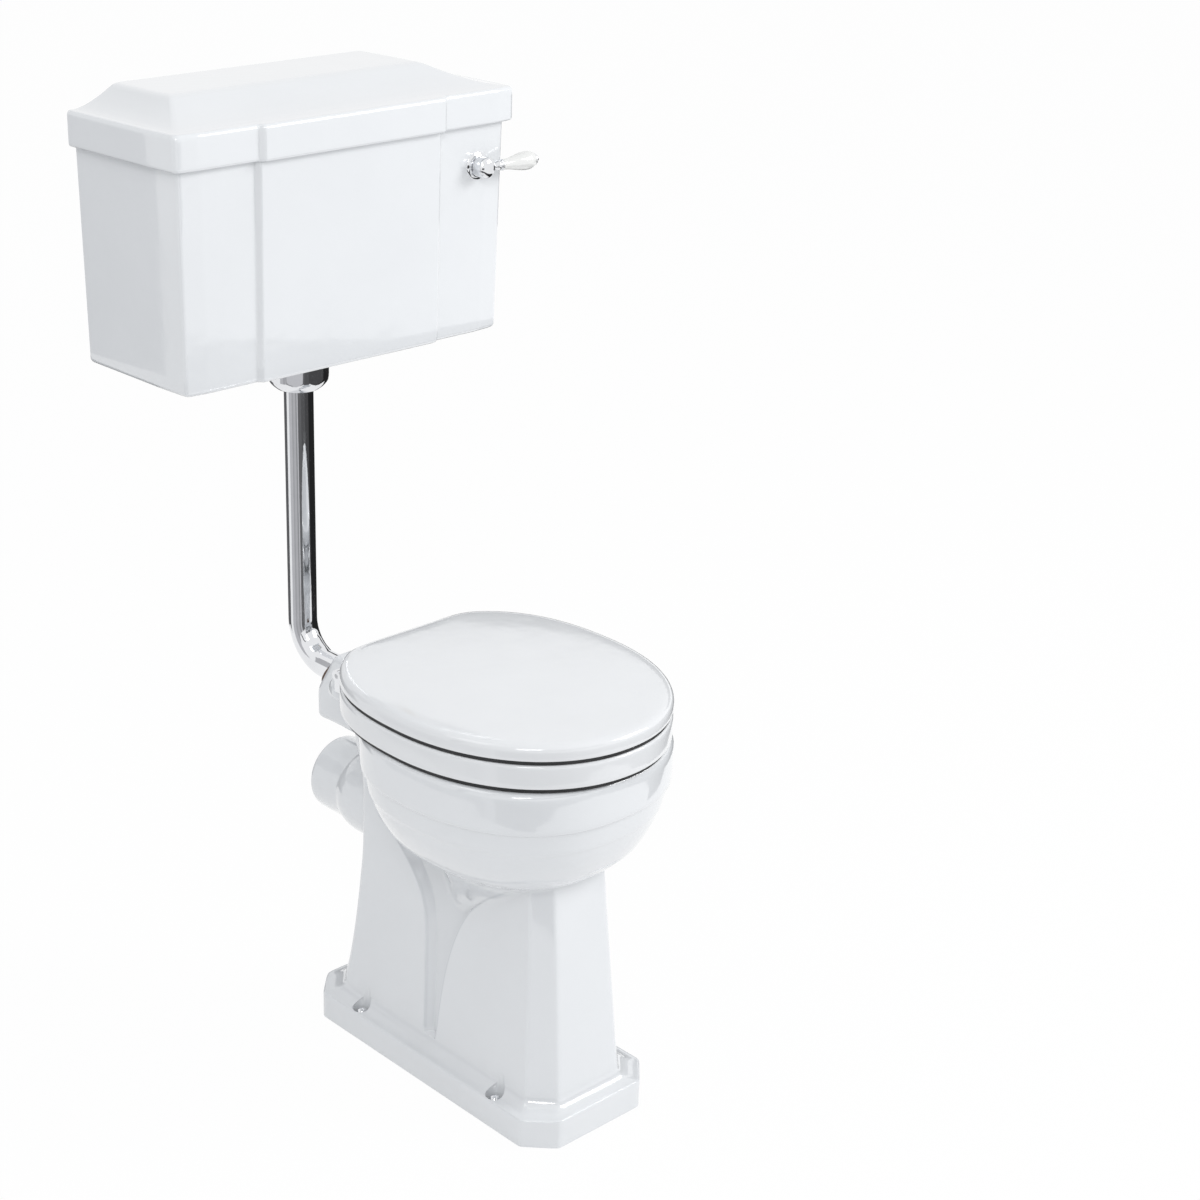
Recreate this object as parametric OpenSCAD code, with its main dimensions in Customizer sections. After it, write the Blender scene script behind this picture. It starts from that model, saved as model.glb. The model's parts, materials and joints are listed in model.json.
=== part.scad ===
// Low level toilet: floor standing pan, flush pipe and wall cistern, with its seat and flushing gear.
// Millimetres, +Z up, -Y to the front. The origin is on the floor, in the middle of the four floor screws.

/* [Pan] */
// Height of the pan's rim above the floor
rim_h = 492; // [470:1:520]
// Width of the rim
rim_w = 353; // [345:1:355]
// Reach of the rim in front of its widest line
rim_front = 203; // [196:1:205]
// Reach of the rim behind its widest line
rim_back = 164; // [158:1:170]
// Place of the rim's widest line, front to back
rim_y = -42; // [-44:0.5:-38]
// Width of the rim's flat top, from the outside to the opening
rim_band = 46.5; // [44:0.5:50]
// Thickness of the bowl's wall
bowl_wall = 11; // [9:0.5:13]
// Height of the bowl, from the rim to its underside
bowl_h = 168; // [155:1:180]
// Height of the plain band under the rim
band_h = 53; // [47:1:58]
// Width of the plinth on the floor
plinth_w = 207; // [196:1:220]
// Length of the plinth on the floor
plinth_l = 453; // [444:1:470]
// Height of the plinth's upright edge
plinth_edge = 39; // [32:1:44]
// Height of the whole plinth, up to the pedestal
plinth_h = 56; // [50:1:62]
// Length of the plinth's corner cants
plinth_cant = 34; // [26:1:40]
// Half-width of the pedestal just under the bowl
ped_half = 61.7; // [60:0.1:64]
// Depth of the sunk panel on each side of the pedestal
sunk = 7; // [4:0.5:9]
// Width of the hollow under the pedestal
hollow_w = 116; // [106:1:118]

/* [Floor screws] */
// Distance between the screws across the pan
screw_dx = 180; // [174:1:184]
// Distance between the screws front to back
screw_dy = 260; // [240:1:280]
// Diameter of each screw hole
screw_hole_d = 8; // [6:0.5:9]
// Diameter of each round recess over a hole
screw_recess_d = 24; // [20:1:26]
// Height of the recess floor
screw_seat_z = 28; // [22:1:32]

/* [Outlet] */
// Outside diameter of the waste outlet
outlet_d = 102; // [98:1:106]
// Bore of the waste outlet
outlet_bore = 82; // [74:1:88]
// How far the outlet's axis lies below the rim
outlet_drop = 192; // [186:1:198]
// Place of the outlet's mouth, behind the origin
outlet_y = 283; // [275:1:295]
// Length of the outlet's straight spigot
outlet_l = 54; // [48:1:58]
// Radius of the trap's waterway
trap_r = 34; // [30:1:36]

/* [Flush pipe] */
// Outside diameter of the flush pipe
pipe_d = 38; // [35:0.5:40]
// Wall of the flush pipe
pipe_wall = 1.2; // [1:0.1:2]
// Radius of the pipe's bend, on its axis
bend_r = 52; // [46:1:56]
// Distance of the upright pipe from the wall
pipe_off = 100.5; // [95:0.5:108]
// How far the flush inlet's axis lies below the rim
inlet_drop = 44; // [40:1:48]
// Place of the inlet block's rear face
inlet_y = 290; // [284:1:294]
// Width of the inlet block
inlet_w = 64; // [60:1:72]

/* [Cistern] */
// Height of the cistern's underside above the floor
tank_z = 872.3; // [850:0.1:900]
// Height of the cistern body
tank_h = 278; // [268:1:290]
// Width of the cistern body at its top
tank_w = 500; // [490:0.5:506]
// How much narrower each side is at the bottom
tank_taper = 4.3; // [2:0.1:8]
// Depth of the cistern body at its top
tank_d = 216.5; // [208:0.5:222]
// How far the front leans back towards the bottom
tank_lean = 4.8; // [2:0.1:7]
// Thickness of the cistern's walls
tank_wall = 9; // [7:0.5:10]
// Half-width of the raised middle panel of the front
panel_half = 139; // [130:1:148]
// How far the middle panel stands proud
panel_step = 6.5; // [4:0.5:9]
// Place of the wall behind the cistern
wall_y = 458.9; // [455:0.1:470]
// Distance between the two wall fixing holes
wall_hole_dx = 300; // [260:5:340]
// Diameter of the wall fixing holes
wall_hole_d = 8; // [6:0.5:10]

/* [Cistern lid] */
// How far the lid stands out past the body
lid_over = 9.5; // [8:0.5:12]
// Height of the lid's upright band
lid_band = 42.3; // [38:0.1:46]
// How far the band comes down over the body
lid_drop = 12; // [8:1:16]
// Rise of the lid's raised top above the band
lid_rise = 24; // [18:1:28]
// Half-width of the raised top
top_half = 185; // [175:1:195]
// Depth of the raised top, from the wall
top_depth = 105; // [95:1:115]

/* [Seat] */
// How far the seat stands out past the rim on each side
seat_over = 1.5; // [0:0.5:4]
// How far the seat stands out past the rim at the front
front_over = 7.2; // [4:0.1:10]
// How far the seat's widest line lies behind the rim's
seat_shift = 3.3; // [1:0.1:6]
// Reach of the lid behind the rim's widest line, to its flat back edge
seat_back = 189; // [186:0.5:191]
// Thickness of the seat ring
seat_t = 30; // [26:1:32]
// Thickness of the seat lid
lid_t = 19.5; // [18:0.5:22]
// Height of the buffers under the ring
ring_gap = 6; // [5.5:0.5:7]
// Height of the buffers under the lid
lid_gap = 5; // [4.5:0.5:6]
// Width of the hole in the ring
hole_w = 224; // [214:1:232]
// Reach of the hole in front of the widest line
hole_front = 151; // [144:1:156]
// Reach of the hole behind the widest line
hole_back = 132; // [122:1:136]

/* [Seat hinge] */
// Distance between the two hinge bolts
hinge_dx = 155; // [150:1:160]
// Diameter of the hinge barrel
barrel_d = 16; // [14:0.5:17]
// Length of each hinge barrel
barrel_l = 66; // [60:1:70]
// Diameter of the hinge pin
hinge_pin_d = 6; // [5:0.5:7]
// Diameter of each hinge pad
pad_d = 36; // [32:1:38]
// Diameter of each hinge bolt
hinge_bolt_d = 8; // [6:0.5:8]
// Thickness of the ledge that the hinge bolts pass through
ledge_t = 18; // [15:1:22]

/* [Flush lever] */
// Distance of the lever's axis from the middle of the cistern
lever_x = 203; // [198:1:208]
// Distance of the lever's axis below the top of the body
lever_down = 63; // [58:1:70]
// Reach of the lever from its axis to its tip
lever_reach = 89; // [80:1:95]
// Diameter of the lever's spindle
spindle_d = 9; // [8:0.5:10]
// Length of the crank inside the cistern
crank_l = 125; // [118:1:128]
// Rise of the siphon's plunger for a full pull
stroke = 50; // [44:1:51]
// Largest angle of the lever
lever_max = 24; // [20:1:25]

/* [Siphon] */
// Outside radius of the siphon's tube
siphon_r = 23; // [21:0.5:24]
// Outside radius of the plunger chamber
chamber_r = 46; // [42:1:47]
// Wall of the siphon
siphon_wall = 2.5; // [2:0.25:3]
// Radius of the threaded tail, 1 1/2 inch pipe thread
tail_r = 23.9; // [23.5:0.1:24.5]
// Width of the coupling nut under the cistern
nut_w = 76; // [70:1:80]
// Height of the coupling nut
nut_h = 45; // [40:1:50]

/* [Float valve] */
// Place of the float valve across the cistern
valve_x = 185; // [180:1:188]
// Radius of the threaded tail, 1/2 inch pipe thread
inlet_tail_r = 10.4; // [10:0.1:10.8]
// Length of the float's arm
arm_l = 277; // [265:1:285]
// Radius of the float
float_r = 45; // [40:1:47]

/* [Hidden] */
$fn = 64;

// Clearances
seat_fit = 0.3;      // between pieces that rest on each other
run_fit = 0.05;      // radial, between a shaft and its hole
slip_fit = 0.2;      // radial, between a thread and its nut
eps = 0.5;           // how far a cutter runs past a face

// Colours, as the object shows them
white = [0.95, 0.96, 0.97];
steel = [0.75, 0.77, 0.8];
black = [0.15, 0.15, 0.15];
umber = [0.35, 0.28, 0.25];
metal = [0.78, 0.62, 0.35];
ivory = [0.9, 0.88, 0.8];

// Points round an oval: ellipse-like halves that meet at the widest line.
// The squareness of each half is its exponent, 2 for a true ellipse.
function oval(a, f, b, n = 64, nf = 2.35, nb = 2.3) = [for (i = [0:n - 1])
    let (t = 360 * i / n, c = cos(t), s = sin(t), e = s < 0 ? 2 / nf : 2 / nb)
    [a * sign(c) * pow(abs(c), e), (s < 0 ? f : b) * sign(s) * pow(abs(s), e)]];

// The same oval with its back cut straight, and the cut's two corners eased
function cut_oval(a, f, b, cut, n = 72, ease = 10) = [for (p = oval(a, f, b, n, 2.09, 2.48))
    [p[0], p[1] < cut - ease ? p[1] : p[1] > cut + ease ? cut
        : cut - pow(cut + ease - p[1], 2) / (4 * ease)]];

// One level ring of a loft: the outline moved to a height
function level(pts, z) = [for (p = pts) [p[0], p[1], z]];

// A rectangle with its corners cut off, front corners and rear corners alike
function canted(h, front, rear, cx, cy) = [[-h + cx, front], [h - cx, front], [h, front + cy],
    [h, rear - cy], [h - cx, rear], [-h + cx, rear], [-h, rear - cy], [-h, front + cy]];

// Solid through level rings with the same number of points, counted anticlockwise from above
module loft(rings) {
    n = len(rings[0]);
    m = len(rings);
    polyhedron(points = [for (r = rings) each r], faces = concat(
        [[for (i = [0:n - 1]) i]],
        [for (j = [0:m - 2], i = [0:n - 1]) [j * n + i, (j + 1) * n + i, (j + 1) * n + (i + 1) % n]],
        [for (j = [0:m - 2], i = [0:n - 1]) [j * n + i, (j + 1) * n + (i + 1) % n, j * n + (i + 1) % n]],
        [[for (i = [n - 1:-1:0]) (m - 1) * n + i]]));
}

// Closed band: the same section carried round a closed line, so the rings wrap both ways
module band_loft(rings) {
    n = len(rings[0]);
    m = len(rings);
    polyhedron(points = [for (r = rings) each r], faces = [for (j = [0:m - 1], i = [0:n - 1], k = [0, 1])
        let (a = j * n + i, b = ((j + 1) % m) * n + i, c = ((j + 1) % m) * n + (i + 1) % n,
            d = j * n + (i + 1) % n)
        k == 0 ? [a, b, c] : [a, c, d]]);
}

// Tube-shaped solid along a line in the middle plane, given as [y, z] points
module waterway(path, r, n = 16) {
    m = len(path);
    loft_along = [for (j = [0:m - 1]) let (a = path[max(j - 1, 0)], b = path[min(j + 1, m - 1)],
        d = (b - a) / norm(b - a))
        [for (i = [0:n - 1]) let (t = 360 * i / n)
            [r * cos(t), path[j][0] - d[1] * r * sin(t), path[j][1] + d[0] * r * sin(t)]]];
    loft([for (j = [m - 1:-1:0]) loft_along[j]]);
}

// Cylinder along X or along Y, from its first end
module rod_x(x, y, z, l, r, r2 = -1) {
    translate([x, y, z]) rotate([0, 90, 0]) cylinder(h = l, r1 = r, r2 = r2 < 0 ? r : r2);
}
module rod_y(x, y, z, l, r, r2 = -1) {
    translate([x, y, z]) rotate([-90, 0, 0]) cylinder(h = l, r1 = r, r2 = r2 < 0 ? r : r2);
}

// Rounded plate with two round rear corners
module rear_round_plate(h, front, rear, r, z, t) {
    translate([0, 0, z]) linear_extrude(t) union() {
        translate([-h, front]) square([2 * h, rear - r - front]);
        translate([-h + r, front]) square([2 * (h - r), rear - front]);
        for (s = [-1, 1]) translate([s * (h - r), rear - r]) circle(r);
    }
}

// The pan

rim_a = rim_w / 2;
seat_half = rim_a + seat_over;
seat_y = rim_y + seat_shift;
seat_front = rim_front + front_over + seat_shift;
lid_back = seat_back - seat_shift;
open_a = rim_a - rim_band;
open_f = rim_front - rim_band + 5;
open_b = rim_back - rim_band + 6.5;
bowl_z = rim_h - bowl_h;
outlet_z = rim_h - outlet_drop;
inlet_z = rim_h - inlet_drop;
mouth_depth = 32;       // of the socket for the rubber cone
hinge_y = seat_y + lid_back + 2.5;     // the hinge's axis, just behind the lid
bolt_y = hinge_y + 5;
ledge_half = hinge_dx / 2 + pad_d / 2 + 2.5;
ledge_rear = bolt_y + pad_d / 2 + 28;
ledge_r = 30;
ped_top = bowl_z + 14;
column_half = 56;

// Outside of the bowl: drop below the rim, and how far the wall has drawn in by then
bowl_drop = [[bowl_h + 26, 100], [bowl_h + 6, 85], [bowl_h - 9, 66], [bowl_h - 19, 48], [bowl_h - 34, 35],
    [bowl_h - 54, 22.5], [bowl_h - 70, 15.5], [bowl_h - 82, 11.5], [bowl_h - 85, 9.8],
    [band_h + 4, 5], [band_h + 1, 4], [band_h, 2.2], [14, 0], [8, 0.5], [4, 2], [1.5, 4], [0, 7]];

module bowl_outside() {
    loft([for (d = bowl_drop) [for (p = oval(rim_a - d[1], rim_front - d[1], rim_back - d[1]))
        [p[0], p[1] + rim_y, rim_h - d[0]]]]);
}

// Inside of the bowl, from the sump up: drop, half-width, front reach, rear reach, shift back.
// Above the wall the rings turn in round the flushing channel and its lip, then out at the opening.
wall_a = rim_a - 5 - bowl_wall;
wall_f = rim_front - 5 - bowl_wall;
wall_b = rim_back - 5 - bowl_wall;
bowl_in = [
    [206, 30, 38, 30, 29], [200, 36, 54, 36, 27], [187, 52, 86, 56, 17], [167, 74, 120, 78, 7],
    [142, 103, 156, 100, 0], [117, wall_a - 25, wall_f - 25, wall_b - 25, 0],
    [87, wall_a - 8, wall_f - 8, wall_b - 8, 0], [52, wall_a, wall_f, wall_b, 0],
    [20, wall_a + 2, wall_f + 2, wall_b + 2, 0], [14, wall_a - 4, wall_f - 4, wall_b - 4, 0],
    [14, open_a + 17, open_f + 17, open_b + 17, 0], [20, open_a + 11, open_f + 11, open_b + 11, 0],
    [38, open_a + 9, open_f + 9, open_b + 9, 0], [40.5, open_a + 5, open_f + 5, open_b + 5, 0],
    [39, open_a + 1, open_f + 1, open_b + 1, 0], [36, open_a, open_f, open_b, 0],
    [6, open_a, open_f, open_b, 0], [2, open_a + 1.5, open_f + 1.5, open_b + 1.5, 0],
    [-eps, open_a + 5, open_f + 5, open_b + 5, 0]];

module bowl_inside() {
    loft([for (d = bowl_in) [for (p = oval(d[1], d[2], d[3]))
        [p[0], p[1] + rim_y + d[4], rim_h - d[0]]]]);
}

// Pedestal, as canted rings: height, half-width, front, rear, cant across, cant along
ped_rings = let (z = plinth_h, h = ped_half) [
    [z - 8, h + 17.8, -203, 208, 28, 30], [z + 8, h + 16.5, -201.4, 206, 27.6, 29.4],
    [z + 40, h + 14.3, -198, 199, 26.8, 28.6], [z + 90, h + 11.1, -193.2, 190.5, 25.5, 27.2],
    [z + 150, h + 7.3, -187.4, 183.5, 24, 25.6], [z + 210, h + 3.8, -181.6, 179, 22.8, 24],
    [ped_top, h, -175, 180, 21.2, 21.8], [ped_top + 26, h - 2, -130, 184, 18, 20],
    [ped_top + 55, column_half, -60, 196, 16, 18], [ped_top + 98, column_half, 0, 200, 16, 18],
    [rim_h - ledge_t + 1, column_half, 20, 200, 16, 18]];

module pedestal(inset) {
    loft([for (d = ped_rings) level(canted(d[1] - inset, d[2], d[3], d[4] - inset, d[5]), d[0])]);
}

// The sunk panel on each side: an outline in the middle plane, between two arched edges.
// Each point is its place front to back and its drop below the pedestal's top.
arch_drawn = 285;       // the panel's height as its points are drawn
function arch(points) = [for (p = points)
    [p[0], ped_top - p[1] * (ped_top - plinth_h + 3) / arch_drawn]];
front_arch = arch([[-170, -40], [-160, 3], [-152.5, 8], [-128, 21], [-102, 39], [-84, 52], [-68.5, 66],
    [-55, 80], [-44, 97], [-35, 115], [-27, 136], [-20, 160], [-14.7, 184.4], [-11, 210], [-8, 236],
    [-4.6, arch_drawn]]);
rear_arch = arch([[18, arch_drawn], [21.3, 213], [23.2, 185], [24.4, 159], [27, 131], [32, 109], [39, 93],
    [48, 80], [60, 67], [73, 55], [100, 35], [128, 21], [158, -35]]);

module arch_outline() {
    translate([-150, 0, 0]) rotate([90, 0, 90]) linear_extrude(300) polygon(concat(front_arch, rear_arch));
}

// Plinth: an upright band with canted corners, then a hollow moulding up to the pedestal
module plinth() {
    h = plinth_w / 2;
    l = plinth_l / 2;
    b = 2.5;
    c = plinth_cant;
    rise = plinth_h - plinth_edge;
    draw = h - ped_half - 16.5;
    loft([level(canted(h, -l + b, l + b, c, c), 0), level(canted(h, -l + b, l + b, c, c), plinth_edge - 3),
        level(canted(h - 1.5, -l + b + 1.5, l + b - 1.5, c, c), plinth_edge),
        for (k = [1:5]) let (t = k / 5, q = 1.5 + draw * sin(90 * t))
            level(canted(h - q, -l + b + q * 0.75, l + b - q, c - 8 * t, c - 4 * t),
                plinth_edge + rise * (1 - cos(90 * t)))]);
}

// Block at the back that the flush pipe enters, its mouth cut back above the pipe's middle
module inlet_block() {
    low = inlet_z - 62;
    high = inlet_z + 36;
    intersection() {
        translate([-inlet_w / 2, 0, 0]) rotate([90, 0, 90]) linear_extrude(inlet_w)
            polygon([[110, low], [inlet_y - 6, low], [inlet_y, low + 8], [inlet_y, inlet_z - 18],
                [inlet_y - mouth_depth, high], [110, high]]);
        rear_round_plate(inlet_w / 2, 100, inlet_y, 10, low - 1, high - low + 2);
    }
}

trap_path = [[10, bowl_z - 22], [12, outlet_z - 38], [18, outlet_z - 72], [38, outlet_z - 99],
    [64, outlet_z - 105], [88, outlet_z - 94], [104, outlet_z - 68], [118, outlet_z - 38],
    [142, outlet_z - 14], [172, outlet_z - 3], [205, outlet_z]];

// Hollow that narrows upwards, between two places front to back; its front wall leans back
module hollow(front, front_top, rear, top) {
    h = hollow_w / 2;
    t = h - 11 * top / 230;
    loft([level([[-h, front], [h, front], [h, rear], [-h, rear]], -eps),
        level([[-t, front_top], [t, front_top], [t, rear], [-t, rear]], top)]);
}

module pan() {
    socket_r = pipe_d / 2 + 7.2;
    color(white) difference() {
        union() {
            bowl_outside();
            difference() {
                pedestal(0);
                arch_outline();
            }
            pedestal(sunk);
            plinth();
            rear_round_plate(ledge_half, 60, ledge_rear, ledge_r, rim_h - ledge_t, ledge_t);
            inlet_block();
            rod_y(0, 120, outlet_z, outlet_y - 120, outlet_d / 2);
            rod_y(0, 135, outlet_z, outlet_y - outlet_l - 135, outlet_d / 2 + 7, outlet_d / 2);
        }
        bowl_inside();
        waterway(trap_path, trap_r);
        rod_y(0, 190, outlet_z, outlet_y - 190 + eps, outlet_bore / 2);
        // hollow foot, higher in front of the trap than under it
        hollow(-180, -165, -30, outlet_z - 85);
        hollow(-31, -31, 158, outlet_z - 154);
        // floor screw holes and their recesses
        for (x = [-1, 1], y = [-1, 1]) translate([x * screw_dx / 2, y * screw_dy / 2, 0]) {
            translate([0, 0, -eps]) cylinder(h = plinth_h, d = screw_hole_d);
            translate([0, 0, screw_seat_z]) cylinder(h = 60, d = screw_recess_d);
        }
        // hinge bolt holes
        for (s = [-1, 1]) translate([s * hinge_dx / 2, bolt_y, rim_h - ledge_t - eps])
            cylinder(h = ledge_t + 2 * eps, d = hinge_bolt_d + 6);
        // socket for the rubber cone, and the way from it into the flushing channel
        rod_y(0, inlet_y - mouth_depth, inlet_z, mouth_depth + eps, socket_r);
        rod_y(0, rim_y + open_b + 10, inlet_z, inlet_y - mouth_depth - rim_y - open_b, pipe_d / 2 + 0.5);
    }
}

// Small pieces on the floor screws
washer_t = 2;
washer_d = screw_recess_d - 6;
module floor_screw_washers() {
    color(ivory) for (x = [-1, 1], y = [-1, 1]) translate([x * screw_dx / 2, y * screw_dy / 2, screw_seat_z])
        difference() {
            cylinder(h = washer_t, d = washer_d);
            translate([0, 0, -eps]) cylinder(h = washer_t + 1, d = screw_hole_d + 0.6);
        }
}
module floor_screw_caps() {
    color(steel) for (x = [-1, 1], y = [-1, 1])
        translate([x * screw_dx / 2, y * screw_dy / 2, screw_seat_z + washer_t])
            rotate_extrude() polygon([[0, 0], [7, 0], [7, 3], [6.4, 5], [5, 6.6], [3, 7.6], [0, 8]]);
}

// The flush pipe and its joints

pipe_y = wall_y - pipe_off;
pipe_r = pipe_d / 2;
backnut_t = 10;
nut_top = tank_z - backnut_t - 1;
nut_low = nut_top - nut_h;
pipe_top = nut_low + 18;
pipe_in = mouth_depth - 1;              // how far the pipe enters the block

module flush_pipe_solid(r) {
    translate([0, pipe_y, inlet_z + bend_r]) cylinder(h = pipe_top - inlet_z - bend_r, r = r);
    translate([0, pipe_y - bend_r, inlet_z + bend_r]) rotate([0, 90, 0])
        rotate_extrude(angle = 90) translate([bend_r, 0]) circle(r);
    rod_y(0, inlet_y - pipe_in, inlet_z, pipe_y - bend_r - inlet_y + pipe_in, r);
}

module flush_pipe() {
    color(steel) difference() {
        flush_pipe_solid(pipe_r);
        flush_pipe_solid(pipe_r - pipe_wall);
    }
}

module flush_cone() {
    in_r = pipe_r + 0.1;
    out_r = pipe_r + 7;
    color(umber) translate([0, inlet_y, inlet_z]) rotate([-90, 0, 0]) rotate_extrude() polygon([
        [in_r, 2 - mouth_depth], [out_r - 1, 2 - mouth_depth], [out_r, 4 - mouth_depth], [out_r, 0.3],
        [out_r - 0.5, 4], [pipe_r + 3, 13], [in_r, 13]]);
}

module coupling_nut() {
    r = nut_w / 2;
    color(steel) translate([0, pipe_y, nut_low]) difference() {
        intersection() {
            cylinder(h = nut_h, r = r / cos(22.5), $fn = 8);
            rotate_extrude() polygon([[0, 0], [r - 10, 0], [r - 3, 5], [r + 1.5, 14], [r + 2, nut_h - 4],
                [r - 1, nut_h], [0, nut_h]]);
        }
        translate([0, 0, 20]) cylinder(h = nut_h, r = tail_r + slip_fit);
        translate([0, 0, 6]) cylinder(h = 15, r = 28);
        translate([0, 0, -eps]) cylinder(h = 10, r = pipe_r + 0.3);
    }
}

module coupling_seal() {
    color(black) translate([0, pipe_y, nut_low + 6 + seat_fit]) difference() {
        cylinder(h = 13, r1 = 27.5, r2 = 25);
        translate([0, 0, -eps]) cylinder(h = 20, r = pipe_r + 0.1);
    }
}

// The siphon in the cistern

floor_z = tank_z + 10;
seal_t = 4;
crown_drop = 102.3;
shoulder_h = 12;
neck_h = 20;
siphon_x = chamber_r + shoulder_h + neck_h;
crown_z = lever_z_of() - crown_drop;   // the siphon's crown keeps its place under the lever
crown_r = siphon_x / 2;
chamber_top = crown_z - neck_h - shoulder_h;
tail_low = nut_low + 22;
rod_r = 2.5;
plunger_z = floor_z + 10;
pull_z = lever_z_of() - crank_l * sin(lever_max / 2);

function lever_z_of() = tank_z + tank_h - lever_down;

module siphon_backnut() {
    color(ivory) translate([0, pipe_y, tank_z - backnut_t]) difference() {
        cylinder(h = backnut_t - seat_fit, r = 39, $fn = 6);
        translate([0, 0, -eps]) cylinder(h = backnut_t + 1, r = tail_r + slip_fit);
    }
}

module siphon_seal() {
    color(black) translate([0, pipe_y, floor_z]) difference() {
        cylinder(h = seal_t, r = 31);
        translate([0, 0, -eps]) cylinder(h = seal_t + 1, r = tail_r + 0.6);
    }
}

module siphon_shape(r, chamber, low, chamber_low) {
    translate([0, pipe_y, low]) cylinder(h = crown_z - low, r = r);
    translate([crown_r, pipe_y, crown_z]) rotate([90, 0, 180]) rotate_extrude(angle = 180)
        translate([crown_r, 0]) circle(r);
    translate([siphon_x, pipe_y, crown_z - neck_h]) cylinder(h = neck_h, r = r);
    translate([siphon_x, pipe_y, chamber_top]) cylinder(h = shoulder_h, r1 = chamber, r2 = r);
    translate([siphon_x, pipe_y, chamber_low]) cylinder(h = chamber_top - chamber_low, r = chamber);
}

module siphon_body() {
    color(ivory) difference() {
        union() {
            siphon_shape(siphon_r, chamber_r, floor_z, floor_z + 6);
            translate([0, pipe_y, tail_low]) cylinder(h = floor_z + 2 - tail_low, r = tail_r);
            translate([0, pipe_y, floor_z + seal_t]) cylinder(h = 5.5, r = 31);
            translate([siphon_x, pipe_y, crown_z + 30]) cylinder(h = 21, r = 7);
        }
        siphon_shape(siphon_r - siphon_wall, chamber_r - siphon_wall, tail_low - eps, floor_z);
        translate([siphon_x, pipe_y, crown_z + 25]) cylinder(h = 35, r = rod_r + 0.1);
    }
}

module siphon_rod() {
    color(metal) translate([siphon_x, pipe_y, plunger_z]) cylinder(h = pull_z - 12.2 - plunger_z, r = rod_r);
}

module siphon_plunger() {
    r = chamber_r - siphon_wall - 0.6;
    color(ivory) translate([siphon_x, pipe_y, plunger_z]) difference() {
        union() {
            cylinder(h = 2.5, r = r);
            cylinder(h = 7, r = 8);
        }
        translate([0, 0, -eps]) cylinder(h = 9, r = rod_r + run_fit);
        for (k = [0:5]) rotate(60 * k) translate([24, 0, -eps]) cylinder(h = 4, r = 8);
    }
}

module siphon_flap() {
    color(black) translate([siphon_x, pipe_y, plunger_z + 2.5 + 0.1]) difference() {
        cylinder(h = 1, r = chamber_r - siphon_wall - 3);
        translate([0, 0, -eps]) cylinder(h = 3, r = 8.2);
    }
}

// Link between the plunger's rod and the crank: an eye with play round the crank's pin
pull_x = lever_x - crank_l * cos(lever_max / 2);
eye_in = 7;
eye_out = 10;
link_t = 3;

module lift_link() {
    color(metal) difference() {
        union() {
            rod_y(siphon_x + 1, pipe_y - link_t / 2, pull_z, link_t, eye_out);
            translate([siphon_x, pipe_y, pull_z - 22]) cylinder(h = 14, r = 4.5);
        }
        rod_y(siphon_x + 1, pipe_y - 4, pull_z, 8, eye_in);
        translate([siphon_x, pipe_y, pull_z - 23]) cylinder(h = 11, r = rod_r + run_fit);
    }
}

// The cistern

tank_half = tank_w / 2;
tank_front = wall_y - tank_d;
tank_top = tank_z + tank_h;
lever_z = lever_z_of();

// Half of the plan, from the middle of the front to the wall: raised panel, wing, round corner, side
function half_plan(h, f, b, p, s) = concat(
    [for (k = [0, 1, 3, 4]) [p - 5 + 2.5 * k, f + s * (1 - cos(45 * k)) / 2]],
    [for (k = [0:4]) [h - 7 + 7 * sin(22.5 * k), f + s + 1 + 7 * (1 - cos(22.5 * k))]],
    [[h, b]]);
function plan(h, f, b, p, s) = let (q = half_plan(h, f, b, p, s), n = len(q))
    concat(q, [for (i = [n - 1:-1:0]) [-q[i][0], q[i][1]]]);

// Plan of the body at a height, drawn in by a margin
function tank_plan(z, m) = let (t = (tank_top - z) / tank_h)
    plan(tank_half - tank_taper * t - m, tank_front + tank_lean * t + m, wall_y - m,
        panel_half - m * 0.6, panel_step);

module cistern_tank() {
    color(white) difference() {
        loft([level(tank_plan(tank_z, 5), tank_z), level(tank_plan(tank_z, 2), tank_z + 1),
            level(tank_plan(tank_z, 0), tank_z + 5), level(tank_plan(tank_top, 0), tank_top)]);
        loft([level(tank_plan(tank_z, tank_wall + 8), floor_z),
            level(tank_plan(tank_z, tank_wall), floor_z + 8),
            level(tank_plan(tank_top, tank_wall), tank_top + eps)]);
        translate([0, pipe_y, tank_z - eps]) cylinder(h = 12, r = tail_r + 2.1);
        translate([valve_x, valve_y, tank_z - eps]) cylinder(h = 12, r = shank_r + 0.6);
        rod_y(lever_x, tank_front - 5, lever_z, 30, spindle_d / 2 + 3.7);
        for (s = [-1, 1]) rod_y(s * wall_hole_dx / 2, wall_y - 20, tank_top - 45, 21, wall_hole_d / 2);
    }
}

// Lid: the body's plan grown, an upright band, then slopes up to the raised top against the wall
lid_low = tank_top - lid_drop;
lid_top = lid_low + lid_band;
lid_half = tank_half + lid_over;
lid_front = tank_front - lid_over;
lid_fit = 2;            // between the body and the lid's rim, all round
function lid_plan(m) = plan(lid_half - m, lid_front + m, wall_y - (m > 3 ? m : 0), panel_half, panel_step);

// Plan on the way from the lid's edge, t = 0, to the raised top, t = 1
function hip_plan(t) = let (y0 = lid_front + panel_step, y1 = wall_y - top_depth)
    [for (p = lid_plan(0)) let (x1 = p[0] * top_half / lid_half,
        yy = p[1] <= y0 ? y1 + (p[1] - y0) * 0.3 : y1 + (p[1] - y0) * top_depth / (wall_y - y0))
        [p[0] + (x1 - p[0]) * t, p[1] + (yy - p[1]) * t]];

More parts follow.
